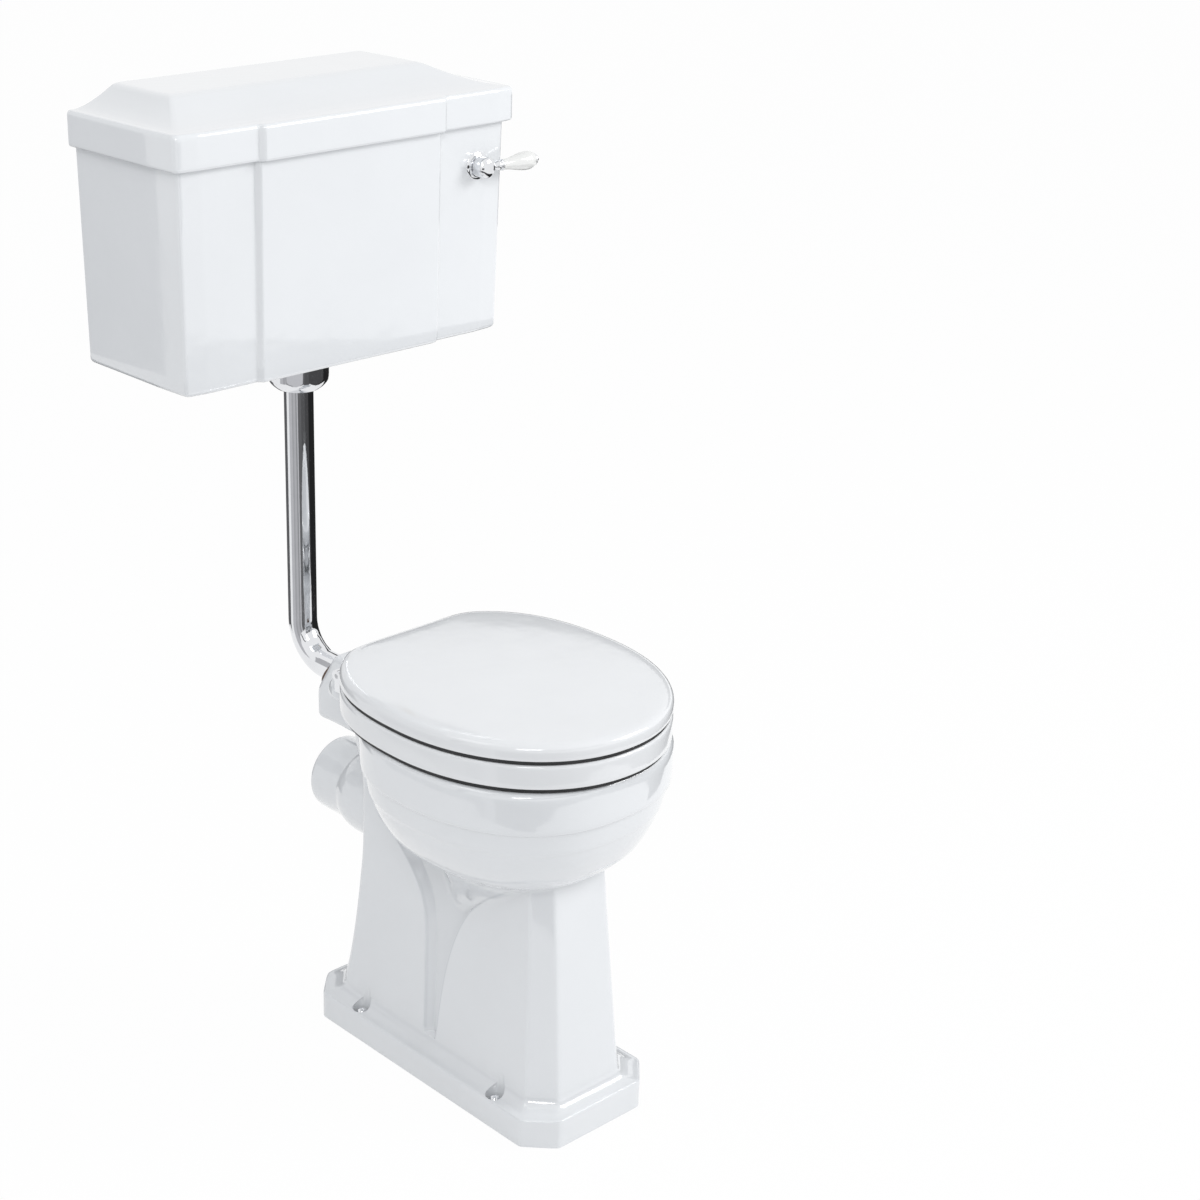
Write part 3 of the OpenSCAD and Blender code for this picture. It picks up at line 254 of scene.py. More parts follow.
# A piece from rings of points, rings[j, i] = point i of ring j, joined into a skin of quads.
# Ends are capped with one face each, and the faces are turned to point outwards.
def skinPiece(name, rings, body, slot, replaced=(), caps=True, crease=34, wrap=False):
    m, n = rings.shape[:2]
    i = np.arange(n)
    j = np.arange(m if wrap else m - 1)[:, None]
    k, j2 = (i + 1) % n, (j + 1) % m
    quads = np.stack([j * n + i, j * n + k, j2 * n + k, j2 * n + i], -1).reshape(-1, 4)
    points = rings.reshape(-1, 3) * mm
    a, b, c, d = (points[quads[:, q]] for q in range(4))
    centre = points.mean(0)
    b, c, d = b - centre, c - centre, d - centre
    volume = np.einsum("ij,ij->", a - centre, np.cross(b, c) + np.cross(c, d))
    inward = volume < 0
    if inward:
        quads = quads[:, ::-1]
    faces = quads.tolist()
    if caps and not wrap:
        first, last = i.tolist(), ((m - 1) * n + i).tolist()
        faces += [first if inward else first[::-1], last[::-1] if inward else last]
    mesh = bpy.data.meshes.new(name)
    mesh.from_pydata(points, [], faces)
    mesh.update()
    mesh.shade_smooth()
    mesh.set_sharp_from_angle(angle=math.radians(crease))
    mesh.materials.append(finish[slot])
    piece = bpy.data.objects.new(name, mesh)
    bpy.context.collection.objects.link(piece)
    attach(piece, body)
    if replaced:
        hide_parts(*replaced)
    return piece


# Smooth values between rows of a table: a cubic through the rows, with slopes taken from the
# neighbours and held flat where the rows turn
def through(t, rows):
    x, y = np.asarray(rows, float).T
    step = np.diff(y) / np.diff(x)
    slope = np.concatenate([[step[0]], (step[1:] + step[:-1]) / 2, [step[-1]]])
    turn = np.concatenate([[False], step[1:] * step[:-1] <= 0, [False]])
    slope[turn] = 0
    t = np.clip(t, x[0], x[-1])
    s = np.clip(np.searchsorted(x, t) - 1, 0, len(x) - 2)
    h = x[s + 1] - x[s]
    u = (t - x[s]) / h
    return (y[s] * (1 + 2 * u) * (1 - u) ** 2 + y[s + 1] * u * u * (3 - 2 * u)
            + slope[s] * h * u * (1 - u) ** 2 - slope[s + 1] * h * u * u * (1 - u))


# A profile of [x, y] points with every leg cut into steps no longer than a given length
def finer(profile, step):
    p = np.asarray(profile, float)
    out = [p[:1]]
    for a, b in zip(p[:-1], p[1:]):
        count = max(1, int(np.ceil(np.hypot(*(b[:2] - a[:2])) / step)))
        out.append(a + (b - a) * (np.arange(1, count + 1) / count)[:, None])
    return np.concatenate(out)


# The corners of a profile rounded by cutting them once or more, each time a quarter in from both sides
def rounded(profile, times=2):
    p = np.asarray(profile, float)
    for _ in range(times):
        p = np.concatenate([p[:1], np.stack([p[:-1] * 0.75 + p[1:] * 0.25, p[:-1] * 0.25 + p[1:] * 0.75], 1)
                            .reshape(-1, p.shape[1]), p[-1:]])
    return p


# Superellipse about its widest line: x = a c^(2/n), y = f or b times s^(2/n)
def oval(t, a, f, b, nf, nb):
    c, s = np.cos(t), np.sin(t)
    e = np.where(s < 0, 2 / nf, 2 / nb)
    return a * np.sign(c) * np.abs(c) ** e, np.where(s < 0, f, b) * np.sign(s) * np.abs(s) ** e


# A surface of revolution about X, Y or Z: profile = [radius, distance along the axis]
def turned(name, profile, place, axis, body, slot, replaced=(), sides=72, crease=34):
    p = np.asarray(profile, float)
    t = np.linspace(0, 2 * np.pi, sides, endpoint=False)
    r = np.maximum(p[:, :1], 0.02)
    u, v, w = r * np.cos(t), r * np.sin(t), p[:, 1:2] + 0 * t
    rings = {"x": np.stack([w, u, v], -1), "y": np.stack([v, w, u], -1), "z": np.stack([u, v, w], -1)}[axis]
    return skinPiece(name, rings + np.array(place), body, slot, replaced, crease=crease)


# The pan

pan = dict(
    rimHigh=492, rimWide=353, rimFront=203, rimBack=164, rimPlace=-42, rimBand=46.5, wall=11,
    plinthHalf=103.5, plinthFront=-224, plinthRear=229, plinthEdge=39, plinthHigh=56, plinthCant=34,
    pedHalf=61.7, sunk=9, frontStep=4, rearStep=4, frontSquare=2.35, backSquare=2.3, cornerSharp=120,
    # fillet between pedestal and bowl: its size, what the sunk panel adds, over what length, and the
    # height where the bowl starts
    blendIn=5, blendHollow=11, blendOver=34, bowlFrom=228,
    # where the sunk panel runs out at the rear: height and place, each with the length it takes
    runOutHigh=(286, 34), runOutRear=(35, 40),
    # from this height up, over this length, the points are spread evenly round
    evenFrom=318, evenOver=60,
)
pedTop = pan["rimHigh"] - 168 + 14
half = pan["rimWide"] / 2

# Height, and how far the bowl, and above it the rim's band, has drawn in there
bowlInset = [[226, 127], [242, 121.5], [258, 116], [278, 108], [298, 98], [318, 84], [333, 66], [343, 49],
             [358, 34], [378, 22.5], [394, 15.6], [406, 11.5], [409, 10], [422, 7.2], [435, 5]]
bandInset = [[435, 5], [438, 4.2], [438.6, 3.6], [439.4, 1.4], [440.4, 0.8], [452, 0.25], [478, 0],
             [482, 0.2], [485, 0.7], [487.5, 1.6], [489.5, 3], [490.9, 4.6], [491.7, 6.2], [492, 8.2]]

# Pedestal rows: height, half-width, front, rear, cant across, cant along
ph = pan["pedHalf"]
pedRows = np.array([
    [56, ph + 17.1, -202.2, 207, 27.8, 29.7], [64, ph + 16.5, -201.4, 206, 27.6, 29.4],
    [96, ph + 14.3, -198, 199, 26.8, 28.6], [146, ph + 11.1, -193.2, 190.5, 25.5, 27.2],
    [206, ph + 7.3, -187.4, 183.5, 24, 25.6], [266, ph + 3.8, -181.6, 179, 22.8, 24],
    [pedTop - 12, ph + 0.6, -176.1, 179.8, 21.5, 22.2], [pedTop - 1, ph + 0.05, -175.1, 180, 21.2, 21.8],
    [pedTop, ph, -175, 180, 21.2, 21.8], [pedTop + 26, ph - 2, -130, 184, 18, 20],
    [pedTop + 27, ph - 2, -129, 184, 18, 20], [pedTop + 55, 56, -75, 196, 16, 18],
    [pedTop + 98, 56, -70, 200, 16, 18], [475, 56, -70, 200, 16, 18]])

# Edges of the sunk side panel: height, place front to back
frontArch = [[53, -4.6], [102, -8], [128, -11], [153.6, -14.7], [178, -20], [202, -27], [223, -35],
             [241, -44], [258, -55], [272, -68.5], [286, -84], [299, -102], [317, -128], [330, -152.5],
             [335, -160], [378, -190]]
rearArch = [[53, 18], [125, 21.3], [153, 23.2], [179, 24.4], [207, 27], [229, 32], [245, 39], [258, 48],
            [271, 60], [283, 73], [303, 100], [317, 128], [373, 158]]


# Rays from the bowl's middle line. A straight-sided outline is the nearest of its sides along the
# ray, its corners eased by adding the sides' reciprocals at a high power.
def panLower():
    high, edge = pan["plinthHigh"], pan["plinthEdge"]
    low = [[0, 0.6], [0.6, 0], [12, 0], [26, 0], [edge - 3, 0], [edge - 1.6, 0.25], [edge - 0.6, 0.8],
           [edge, 1.8]]
    draw = [[z, q / (pan["plinthHalf"] - ph - 17.1)] for z, q in low]
    t = np.linspace(0.04, 1, 16)
    draw += [[edge + (high - edge) * (1 - math.cos(math.pi / 2 * u)), 0.08 + 0.92 * math.sin(math.pi / 2 * u)]
             for u in t]
    draw = np.array(draw)
    cant = pan["plinthCant"]
    base = np.array([pan["plinthHalf"], pan["plinthFront"], pan["plinthRear"], cant, cant])
    plinth = np.concatenate([draw[:, :1], base + draw[:, 1:] * (pedRows[0, 1:] - base)], 1)
    side = finer([[z, q] for z, q in bowlInset if z >= 242], 2.4)[:, 0]
    z = np.concatenate([np.arange(58, 242, 3.0), side, [438, 438.6, 439.4, 440.4, 446, 452, 460, 468, 473.9]])
    pillar = np.stack([z] + [through(z, pedRows[:, [0, k]]) for k in range(1, 6)], 1)
    rows = np.concatenate([plinth, pillar])
    z, h, front, rear, cx, cy = rows.T[:, :, None]
    zz = z[:, 0]

    # where the points go round: face, cant, strip, step, panel, step, strip, cant, rear face
    y1 = through(zz, frontArch)[:, None]
    y2 = through(zz, rearArch)[:, None]
    lean1 = np.gradient(y1[:, 0], zz)[:, None]
    lean2 = np.gradient(y2[:, 0], zz)[:, None]
    w1 = pan["frontStep"] * np.sqrt(1 + lean1 ** 2)
    w2 = pan["rearStep"] * np.sqrt(1 + lean2 ** 2)
    sideFront, sideRear = front + cy, rear - cy
    y1 = np.clip(y1, sideFront + 1, None)
    y2 = np.clip(y2, None, sideRear - 1)

    def run(a, b, count, tight=0.0):
        u = np.linspace(0, 1, count, endpoint=False)
        u = u * (1 - tight) + tight * (1 - np.cos(np.pi * u)) / 2
        return a + (b - a) * u

    side = [run(sideFront, y1, 36, 0.9), run(y1, y1 + w1, 12), run(y1 + w1, y2 - w2, 60, 0.5),
            run(y2 - w2, y2, 10), run(y2, sideRear, 26, 0.9)]
    yHalf = np.concatenate([front + 0 * run(0, 1, 12)] + [run(front, sideFront, 9, 0.9)] + side
                           + [run(sideRear, rear, 8, 0.9)] + [rear + 0 * run(0, 1, 10), rear], 1)
    xHalf = np.concatenate([run(0 * h, h - cx, 12, 0.9), run(h - cx, h, 9, 0.9)] + [h + 0 * s for s in side]
                           + [run(h, h - cx, 8, 0.9), run(h - cx, 0 * h, 10, 0.9), 0 * h], 1)
    angle = np.arctan2(yHalf - pan["rimPlace"], xHalf)
    count = angle.shape[1]
    even = np.linspace(-np.pi / 2, np.pi / 2, count)
    share = np.clip((z - pan["evenFrom"]) / pan["evenOver"], 0, 1)
    share = share * share * (3 - 2 * share)
    angle = angle * (1 - share) + even * share
    angle = np.maximum.accumulate(angle, 1)
    dx, dy = np.cos(angle), np.sin(angle)
    dx = np.maximum(dx, 1e-6)

    c = pan["rimPlace"]
    up, back = -dy / (c - front), dy / (rear - c)

    def corner(px, py, qx, qy):     # reach of the slanted side through two corners
        ax, ay = qy - py, -(qx - px)
        return (ax * dx + ay * dy) / (ax * px + ay * py)

    fc = corner(h - cx, front - c, h, front + cy - c)
    rc = corner(h, rear - cy - c, h - cx, rear - c)
    y = c + h * dy / dx
    inside = 1 - (1 - np.clip((y - y1) / w1, 0, 1)) ** 2
    inside = inside * (1 - (1 - np.clip((y2 - y) / w2, 0, 1)) ** 2)
    inside = inside * np.clip((zz[:, None] - 53) / 3, 0, 1)
    (endHigh, overHigh), (endRear, overRear) = pan["runOutHigh"], pan["runOutRear"]
    inside = inside * (1 - np.clip((z - endHigh) / overHigh, 0, 1) * np.clip((y - endRear) / overRear, 0, 1))
    across = dx / (h - pan["sunk"] * inside)
    p = pan["cornerSharp"]
    reach = sum(np.maximum(v, 1e-9) ** p for v in (up, back, fc, rc, across)) ** (-1 / p)

    inset = np.where(zz < 435, through(zz, bowlInset), np.interp(zz, *np.array(bandInset).T))[:, None]
    n = np.where(dy < 0, pan["frontSquare"], pan["backSquare"])
    depth = np.where(dy < 0, pan["rimFront"], pan["rimBack"]) - inset
    bowl = ((dx / (half - inset)) ** n + (np.abs(dy) / depth) ** n) ** (-1 / n)
    bowl = np.where(zz[:, None] < pan["bowlFrom"], 0, bowl)
    wide = np.clip((y - y1) / pan["blendOver"], 0, 1) * np.clip((y2 - y) / pan["blendOver"], 0, 1)
    k = pan["blendIn"] + pan["blendHollow"] * wide * wide * (3 - 2 * wide)
    k = k * np.clip((zz[:, None] - pan["bowlFrom"]) / 30, 0.05, 1)
    near = np.maximum(k - np.abs(reach - bowl), 0) / k
    reach = np.maximum(reach, bowl) + near * near * k / 4
    x, y = reach * dx, c + reach * dy
    x[:, 0] = x[:, -1] = 0
    ring = np.stack([x, y, z + 0 * x], -1)
    mirror = ring[:, -2:0:-1] * [-1, 1, 1]
    return np.concatenate([ring, mirror], 1)


# Rings of the band, the rim and the bowl's inside: superellipses with their own half-width,
# front and rear reach, each point on the same ray all the way
def panUpper(angles):
    a, f, b = half, pan["rimFront"], pan["rimBack"]
    oa, of, ob = a - pan["rimBand"], f - pan["rimBand"] + 5, b - pan["rimBand"] + 6.5
    w = 5 + pan["wall"]
    wa, wf, wb = a - w, f - w, b - w
    top = pan["rimHigh"]
    rim = [[z, a - d, f - d, b - d, 0] for z, d in bandInset if z > 474]
    first = np.interp(474, *np.array(bandInset).T)
    rim = [[474, a - first, f - first, b - first, 0]] + rim
    lip = [[top, oa + 6, of + 6, ob + 6, 0], [top - 0.3, oa + 3.6, of + 3.6, ob + 3.6, 0],
           [top - 1.4, oa + 1.6, of + 1.6, ob + 1.6, 0], [top - 3.4, oa + 0.4, of + 0.4, ob + 0.4, 0],
           [top - 6, oa, of, ob, 0], [top - 36, oa, of, ob, 0], [top - 39, oa + 1, of + 1, ob + 1, 0],
           [top - 40.5, oa + 5, of + 5, ob + 5, 0], [top - 38, oa + 9, of + 9, ob + 9, 0],
           [top - 20, oa + 11, of + 11, ob + 11, 0], [top - 15, oa + 15, of + 15, ob + 15, 0],
           [top - 15, wa - 4, wf - 4, wb - 4, 0], [top - 20, wa + 1, wf + 1, wb + 1, 0]]
    bowl = [[52, wa, wf, wb, 0], [70, wa - 3, wf - 3, wb - 3, 0], [87, wa - 8, wf - 8, wb - 8, 0],
            [103, wa - 15, wf - 15, wb - 15, 0], [117, wa - 25, wf - 25, wb - 25, 0],
            [130, 121, 173, 117, 0], [142, 103, 156, 100, 0], [155, 88, 138, 89, 3], [167, 74, 120, 78, 7],
            [178, 62, 102, 67, 12], [187, 52, 86, 56, 17], [195, 42, 68, 45, 23], [201, 36, 54, 37, 27],
            [207, 32, 43, 32, 29], [216, 30, 37, 30, 29], [240, 30, 35, 30, 29]]
    rows = finer(rim + lip, 4)
    deep = np.array([[top - d, *rest] for d, *rest in bowl])
    run = np.arange(len(deep), dtype=float)
    fine = np.arange(0, len(deep) - 0.99, 0.25)
    deep = np.stack([through(fine, np.stack([run, deep[:, k]], 1)) for k in range(5)], 1)
    z, ra, rf, rb, shift = np.concatenate([rows, deep]).T[:, :, None]
    dx, dy = np.cos(angles), np.sin(angles)
    n = np.where(dy < 0, pan["frontSquare"], pan["backSquare"])
    depth = np.where(dy < 0, rf, rb)
    reach = ((np.abs(dx) / ra) ** n + (np.abs(dy) / depth) ** n) ** (-1 / n)
    return np.stack([reach * dx, pan["rimPlace"] + shift + reach * dy, z + 0 * reach], -1)


lower = panLower()
angles = np.arctan2(lower[-1, :, 1] - pan["rimPlace"], lower[-1, :, 0])
upper = panUpper(angles)

# The hollow under the foot: a squared oval that narrows a little on its way up to the ceiling
footSlot = dict(half=57, long=166, middle=-10, square=0.3, narrowX=0.001, narrowY=0.0004,
                heights=(146, 140, 100, 50, 4, 0.8))
turn = np.arctan2(lower[0, :, 1] * 0.33, lower[0, :, 0])
c, s = np.cos(turn), np.sin(turn)
slotX = footSlot["half"] * np.sign(c) * np.abs(c) ** footSlot["square"]
slotY = footSlot["middle"] + footSlot["long"] * np.sign(s) * np.abs(s) ** footSlot["square"]
foot = np.stack([np.stack([slotX * (1 - footSlot["narrowX"] * z), slotY * (1 - footSlot["narrowY"] * z),
                           0 * slotX + z], -1) for z in footSlot["heights"]])
rim0 = np.stack([slotX * 1.02, slotY * 1.01, 0 * slotX], -1)[None]
panSkin = skinPiece("pan", np.concatenate([foot, rim0, lower, upper]), "pan", "glaze", ["pan"], crease=40)
print("pan:", len(panSkin.data.polygons), "faces")


recess = dict(x=90, y=130, levels=[[9.0, 28], [11.2, 28.2], [12, 29.2], [12, 90]])   # radius, height


# The recesses over the floor screws: round cutters taken out of the pan, then the edge kept crisp
def cutRecesses(piece):
    cutters = []
    for sx in (-1, 1):
        for sy in (-1, 1):
            t = np.linspace(0, 2 * np.pi, 48, endpoint=False)
            x, y = sx * recess["x"], sy * recess["y"]
            rings = np.stack([np.stack([x + r * np.cos(t), y + r * np.sin(t), z + 0 * t], -1)
                              for r, z in recess["levels"]])
            cutter = skinPiece("recessCutter", rings, "pan", "glaze")
            bool_ = piece.modifiers.new("recess", "BOOLEAN")
            bool_.object, bool_.operation, bool_.solver = cutter, "DIFFERENCE", "EXACT"
            cutters.append(cutter)
    done = bpy.data.meshes.new_from_object(piece.evaluated_get(bpy.context.evaluated_depsgraph_get()))
    piece.modifiers.clear()
    piece.data = done
    done.shade_smooth()
    done.set_sharp_from_angle(angle=math.radians(40))
    for cutter in cutters:
        bpy.data.objects.remove(cutter)


cutRecesses(panSkin)


# Painted shade along the edges of the sunk panels, where shade falls in the creases: share of the tint, then
# place and width in mm
paintedShadeBands = dict(front=(0.36, 0.6, 1.5), rear=(0.2, 0.8, 1.8), hollow=0.07,
                 inner=44, low=56, high=330, fade=40)
archHeights = np.arange(56, 336, 4.0)
archLean = [np.stack([archHeights, np.gradient(through(archHeights, arch), archHeights)], -1)
            for arch in (frontArch, rearArch)]


# Painted shade: a bell curve across each edge, a little over the whole hollow, and nothing off the sides
def paintShadeBands(piece):
    g = paintedShadeBands
    spots = np.zeros(len(piece.data.vertices) * 3)
    piece.data.vertices.foreach_get("co", spots)
    x, y, z = spots.reshape(-1, 3).T / mm
    lean1, lean2 = through(z, archLean[0]), through(z, archLean[1])
    d1 = (y - through(z, frontArch)) / np.sqrt(1 + lean1 ** 2)
    d2 = (through(z, rearArch) - y) / np.sqrt(1 + lean2 ** 2)
    edge = sum(share * np.exp(-((d - off) / width) ** 2)
               for d, (share, off, width) in ((d1, g["front"]), (d2, g["rear"])))
    hollow = g["hollow"] * np.clip(d1 / 3, 0, 1) * np.clip(d2 / 3, 0, 1)
    onSide = np.clip((np.abs(x) - g["inner"]) / 4, 0, 1) * np.clip((z - g["low"]) / 4, 0, 1)
    onSide = onSide * np.clip((g["high"] - z) / g["fade"], 0, 1)
    layer = piece.data.attributes.new("paintedShade", "FLOAT", "POINT")
    layer.data.foreach_set("value", ((edge + hollow) * onSide).astype(np.float32))


paintShadeBands(panSkin)

ledge = dict(half=98, front=70, rear=200.5, corner=30, top=491.9, thick=17.9)


# Rounded rectangle: half-widths drawn in by a margin, two rear corners on quarter circles
def ledgeRing(m, z, k):
    h, r = ledge["half"] - m, ledge["corner"] - m
    t = np.linspace(0, np.pi / 2, k)
    y1 = ledge["rear"] - ledge["corner"]
    right = np.stack([ledge["half"] - ledge["corner"] + r * np.cos(t), y1 + r * np.sin(t)], -1)
    left = right[::-1] * [-1, 1]
    front = np.array([[-h, ledge["front"] + m], [h, ledge["front"] + m]])
    line = np.concatenate([front, np.linspace([h, ledge["front"] + m], [h, y1], 8)[1:-1], right, left,
                           np.linspace([-h, y1], [-h, ledge["front"] + m], 8)[1:-1]])
    return np.concatenate([line, np.full((len(line), 1), z)], 1)


edgeRound = [[0, 8.2], [0.3, 6.2], [1.1, 4.6], [2.5, 3], [4.5, 1.6], [7, 0.7], [10, 0.2], [13, 0]]
bottomRound = [[0, 3], [0.4, 1.6], [1.4, 0.5], [3, 0]]
lowZ = ledge["top"] - ledge["thick"]
ledgeRings = [ledgeRing(m, lowZ + d, 14) for d, m in bottomRound]
ledgeRings += [ledgeRing(m, ledge["top"] - d, 14) for d, m in edgeRound[::-1]]
skinPiece("seatLedge", np.stack(ledgeRings), "pan", "glaze")

inlet = dict(half=32, low=386, high=484, slopeFrom=258, slope=54 / 32, square=0.28)


# The block that takes the flush pipe: each ring is a squared oval in X and Z, and the block's top
# falls with a slope near the mouth
def inletBlock():
    y = np.array([105, 180, 230, 252, 257, 262, 268, 275, 281, 285, 287.6, 289.2, 290.0, 290.0])
    draw = np.array([0, 0, 0, 0, 0, 0, 0, 0, 0, 0.4, 1.2, 2.6, 5, 8])
    top = inlet["high"] - np.clip(y - inlet["slopeFrom"], 0, None) * inlet["slope"]
    t = np.linspace(0, 2 * np.pi, 64, endpoint=False)
    c, s = np.cos(t), np.sin(t)
    e = inlet["square"]
    ux, uz = np.sign(c) * np.abs(c) ** e, np.sign(s) * np.abs(s) ** e
    hx = (inlet["half"] - draw)[:, None]
    lo, hi = (inlet["low"] + draw)[:, None], (top - draw)[:, None]
    return np.stack([hx * ux, y[:, None] + 0 * hx * ux, (lo + hi) / 2 + (hi - lo) / 2 * uz], -1)


skinPiece("inletBlock", inletBlock(), "pan", "glaze", crease=50)

horn = dict(
    axis=300,
    # radius, distance: outside with its collar, mouth, then the bore
    profile=[[0, 130], [58, 130], [58, 196], [57.6, 206], [56.4, 214], [54.2, 221.5], [51.8, 226.5],
             [51, 229.5], [51, 252], [51, 278], [50.6, 281], [49.6, 282.6], [48, 283], [43.5, 283],
             [42, 282.4], [41.2, 281], [41, 279], [41, 240], [41, 200], [40, 190], [30, 186], [0, 184]],
)
turned("outletHorn", horn["profile"], (0, 0, horn["axis"]), "y", "pan", "glaze", sides=128)
print("pan fittings made")


# The cistern

cistern = dict(
    low=872.3, high=1150.3, half=250, front=242.4, wall=458.9, taper=4.3, lean=4.8, panelHalf=139, step=6.5,
    corner=5, lidCorner=8, cant=2.2, cantLong=54, faceCant=30, faceDrop=3, thick=9, floor=10, backGap=0.6,
    lidOver=9.5, lidLow=1138.3, lidTop=1180.6, crownHalf=185, crownDeep=105, crownRise=24,
)


# A corner of an outline eased by a curve that starts and ends a given distance from it
def eased(p, before, after, r, count):
    p, q1, q2 = (np.asarray(v, float) for v in (p, before, after))
    a, b = p + (q1 - p) * r / np.hypot(*(q1 - p)), p + (q2 - p) * r / np.hypot(*(q2 - p))
    u = np.linspace(0, 1, count)[:, None]
    return a * (1 - u) ** 2 + p * 2 * u * (1 - u) + b * u ** 2


# Outline from the middle of the front round to the wall: flat panel, an S-shaped step, a wing whose
# end is canted back, an eased corner, a side that is canted near the front, and a back corner
def cisternOutline(h, f, b, p, s, cant, r):
    u = np.linspace(0, 1, 19)
    ogee = np.stack([p - 5 + 10 * u, f + s * (u - np.sin(2 * np.pi * u) / (2 * np.pi))], -1)
    c = cistern
    fy = f + s
    turn, tip, far = (h - cant - c["faceCant"], fy), (h - cant, fy + c["faceDrop"]), (h - cant + 0.1, fy + 60)
    bend = eased(turn, ogee[-1], tip, 4, 6)
    corner = eased(tip, turn, far, r, 10)
    v = np.linspace(0, 1, 14)[1:]
    x, y = corner[-1]
    strip = np.stack([x + (h - x) * (1 - (1 - v) ** 1.5), y + c["cantLong"] * v], -1)
    t = np.linspace(0, np.pi / 2, 10)
    rb = 4
    back = np.stack([h - rb + rb * np.cos(t), b - rb + rb * np.sin(t)], -1)
    side = np.linspace(strip[-1], back[0], 12)[1:-1]
    panel = np.linspace([0, f], ogee[0], 16)[:-1]
    wing = np.linspace(ogee[-1], bend[0], 14)[1:-1]
    face = np.linspace(bend[-1], corner[0], 6)[1:-1]
    rear = np.linspace([h - 9, b], [0, b], 14)
    halfLine = np.concatenate([panel, ogee, wing, bend, face, corner, strip, side, back, rear])
    return np.concatenate([halfLine, (halfLine * [-1, 1])[-2:0:-1]])


def atHeight(line, z):
    return np.concatenate([line, np.full((len(line), 1), float(z))], 1)


def bodyRing(z, m):
    c = cistern
    t = (c["high"] - z) / (c["high"] - c["low"])
    h, f, b = c["half"] - c["taper"] * t - m, c["front"] + c["lean"] * t + m, c["wall"] - max(m, 0)
    return atHeight(cisternOutline(h, f, b, c["panelHalf"] - m * 0.6, c["step"], c["cant"], c["corner"]), z)


def cisternBody():
    c = cistern
    low, high, thick = c["low"], c["high"], c["thick"]
    out = [[low, 9], [low, 6.4], [low + 0.5, 4.2], [low + 1.4, 2.5], [low + 2.8, 1.2], [low + 4.8, 0.3],
           [low + 7, 0]]
    out += [[z, 0] for z in np.linspace(low + 20, high - 6, 20)]
    out += [[high - 2, 0.2], [high - 0.6, 0.9], [high, 2.4], [high, 7], [high - 0.8, 8.4], [high - 3, thick]]
    inside = [[z, thick] for z in np.linspace(high - 20, low + 36, 14)]
    inside += [[low + 24, 9.6], [low + 16, 12], [low + 12, 16], [low + 10.4, 21], [low + c["floor"], 28]]
    return np.stack([bodyRing(z, m) for z, m in out + inside])


skinPiece("cisternBody", cisternBody(), "pan", "glaze", ["cistern_tank"], crease=50)


# The lid's outline at a margin, and outlines part of the way to the raised top
def lidRing(z, m, share=0.0, lift=0.0):
    c = cistern
    f = c["front"] - c["lidOver"]
    h = c["half"] + c["lidOver"]
    fade = np.clip(1 - share / 0.14, 0, 1)
    fade = fade ** 2 * (3 - 2 * fade)
    line = cisternOutline(h - m, f + m + c["step"] * (1 - fade), c["wall"] - max(m - 3, 0), c["panelHalf"],
                          c["step"] * fade, c["cant"] + 0.6, c["lidCorner"])
    y0, y1, y2 = f + c["step"] + m, c["wall"] - c["crownDeep"] + m, c["wall"] - max(m - 3, 0)
    x, y = line.T
    gx = x * (c["crownHalf"] - m) / (h - m)
    gy = np.where(y <= y0, y1 + (y - y0) * 0.3, y1 + (y - y0) * (y2 - y1) / (y2 - y0))
    return atHeight(np.stack([x + (gx - x) * share, y + (gy - y) * share], -1), z + lift)


def cisternTop():
    c = cistern
    low, top, rise = c["lidLow"], c["lidTop"], c["crownRise"]
    hollow = [[top + rise - 10, 12, 1.0], [top + rise - 11, 8, 1.0], [top - 8, 13, 0.06], [top - 10, 12, 0]]
    rings = [lidRing(z, m + 9.5 if s == 0 else m, s) for z, m, s in hollow]
    rings += [lidRing(z, 21.5) for z in (top - 20, c["high"] + 1)]
    skirt = [(c["high"] + 0.4, 20), (c["high"] + 0.4, 8), (low + 2, 7.6), (low + 0.6, 7), (low, 6), (low, 3),
             (low + 0.3, 1.8), (low + 1, 0.8), (low + 2.4, 0.2), (low + 4, 0)]
    rings += [lidRing(z, m) for z, m in skirt]
    rings += [lidRing(z, 0) for z in np.linspace(low + 9, top - 7, 8)]
    brow = [(5, 0.1), (3.2, 0.5), (1.8, 1.2), (0.8, 2.2), (0.2, 3.4), (0, 4.8)]
    rings += [lidRing(top - d, m) for d, m in brow]
    # a cove up four fifths of the way, then a round shoulder on to the raised top
    t = np.linspace(0, 1, 60)[1:]
    u = np.clip((t - 0.8) / 0.2, 0, 1)
    shoulder = 0.84 * (1 + 2 * u) * (1 - u) ** 2 + 0.357 * u * (1 - u) ** 2 + u * u * (3 - 2 * u)
    slope = rise * np.where(t < 0.8, 1.228 * t ** 1.7, shoulder)
    rings += [lidRing(top, 4.8 * (1 - u) + 1.0 * u, 0.015 + 0.985 * u, lift) for u, lift in zip(t, slope)]
    rings += [lidRing(top + rise, 1.0 + d, 1) for d in (3, 8, 20, 40)]
    rings = np.stack(rings)
    # the skirt is open at the back, where the tank stands against the wall
    openBack = (np.abs(rings[..., 0]) < c["half"] + c["backGap"]) & (rings[..., 1] > c["wall"] - c["thick"])
    rings[..., 2] = np.where(openBack, np.maximum(rings[..., 2], c["high"] + c["backGap"]), rings[..., 2])
    return rings


skinPiece("cisternLid", cisternTop(), "cistern_top", "glaze", ["cistern_lid"], crease=50)
print("cistern made")


# The seat and its lid

seat = dict(
    half=178, place=-38.7, front=213.5, back=185.7, reach=200.2, rear=139.5, ringLow=498, thick=30,
    lidGap=5, lidThick=19.5, holeHalf=112, holeFront=151, holeBack=132,
    frontSquare=2.09, backSquare=2.48, ease=10,
)


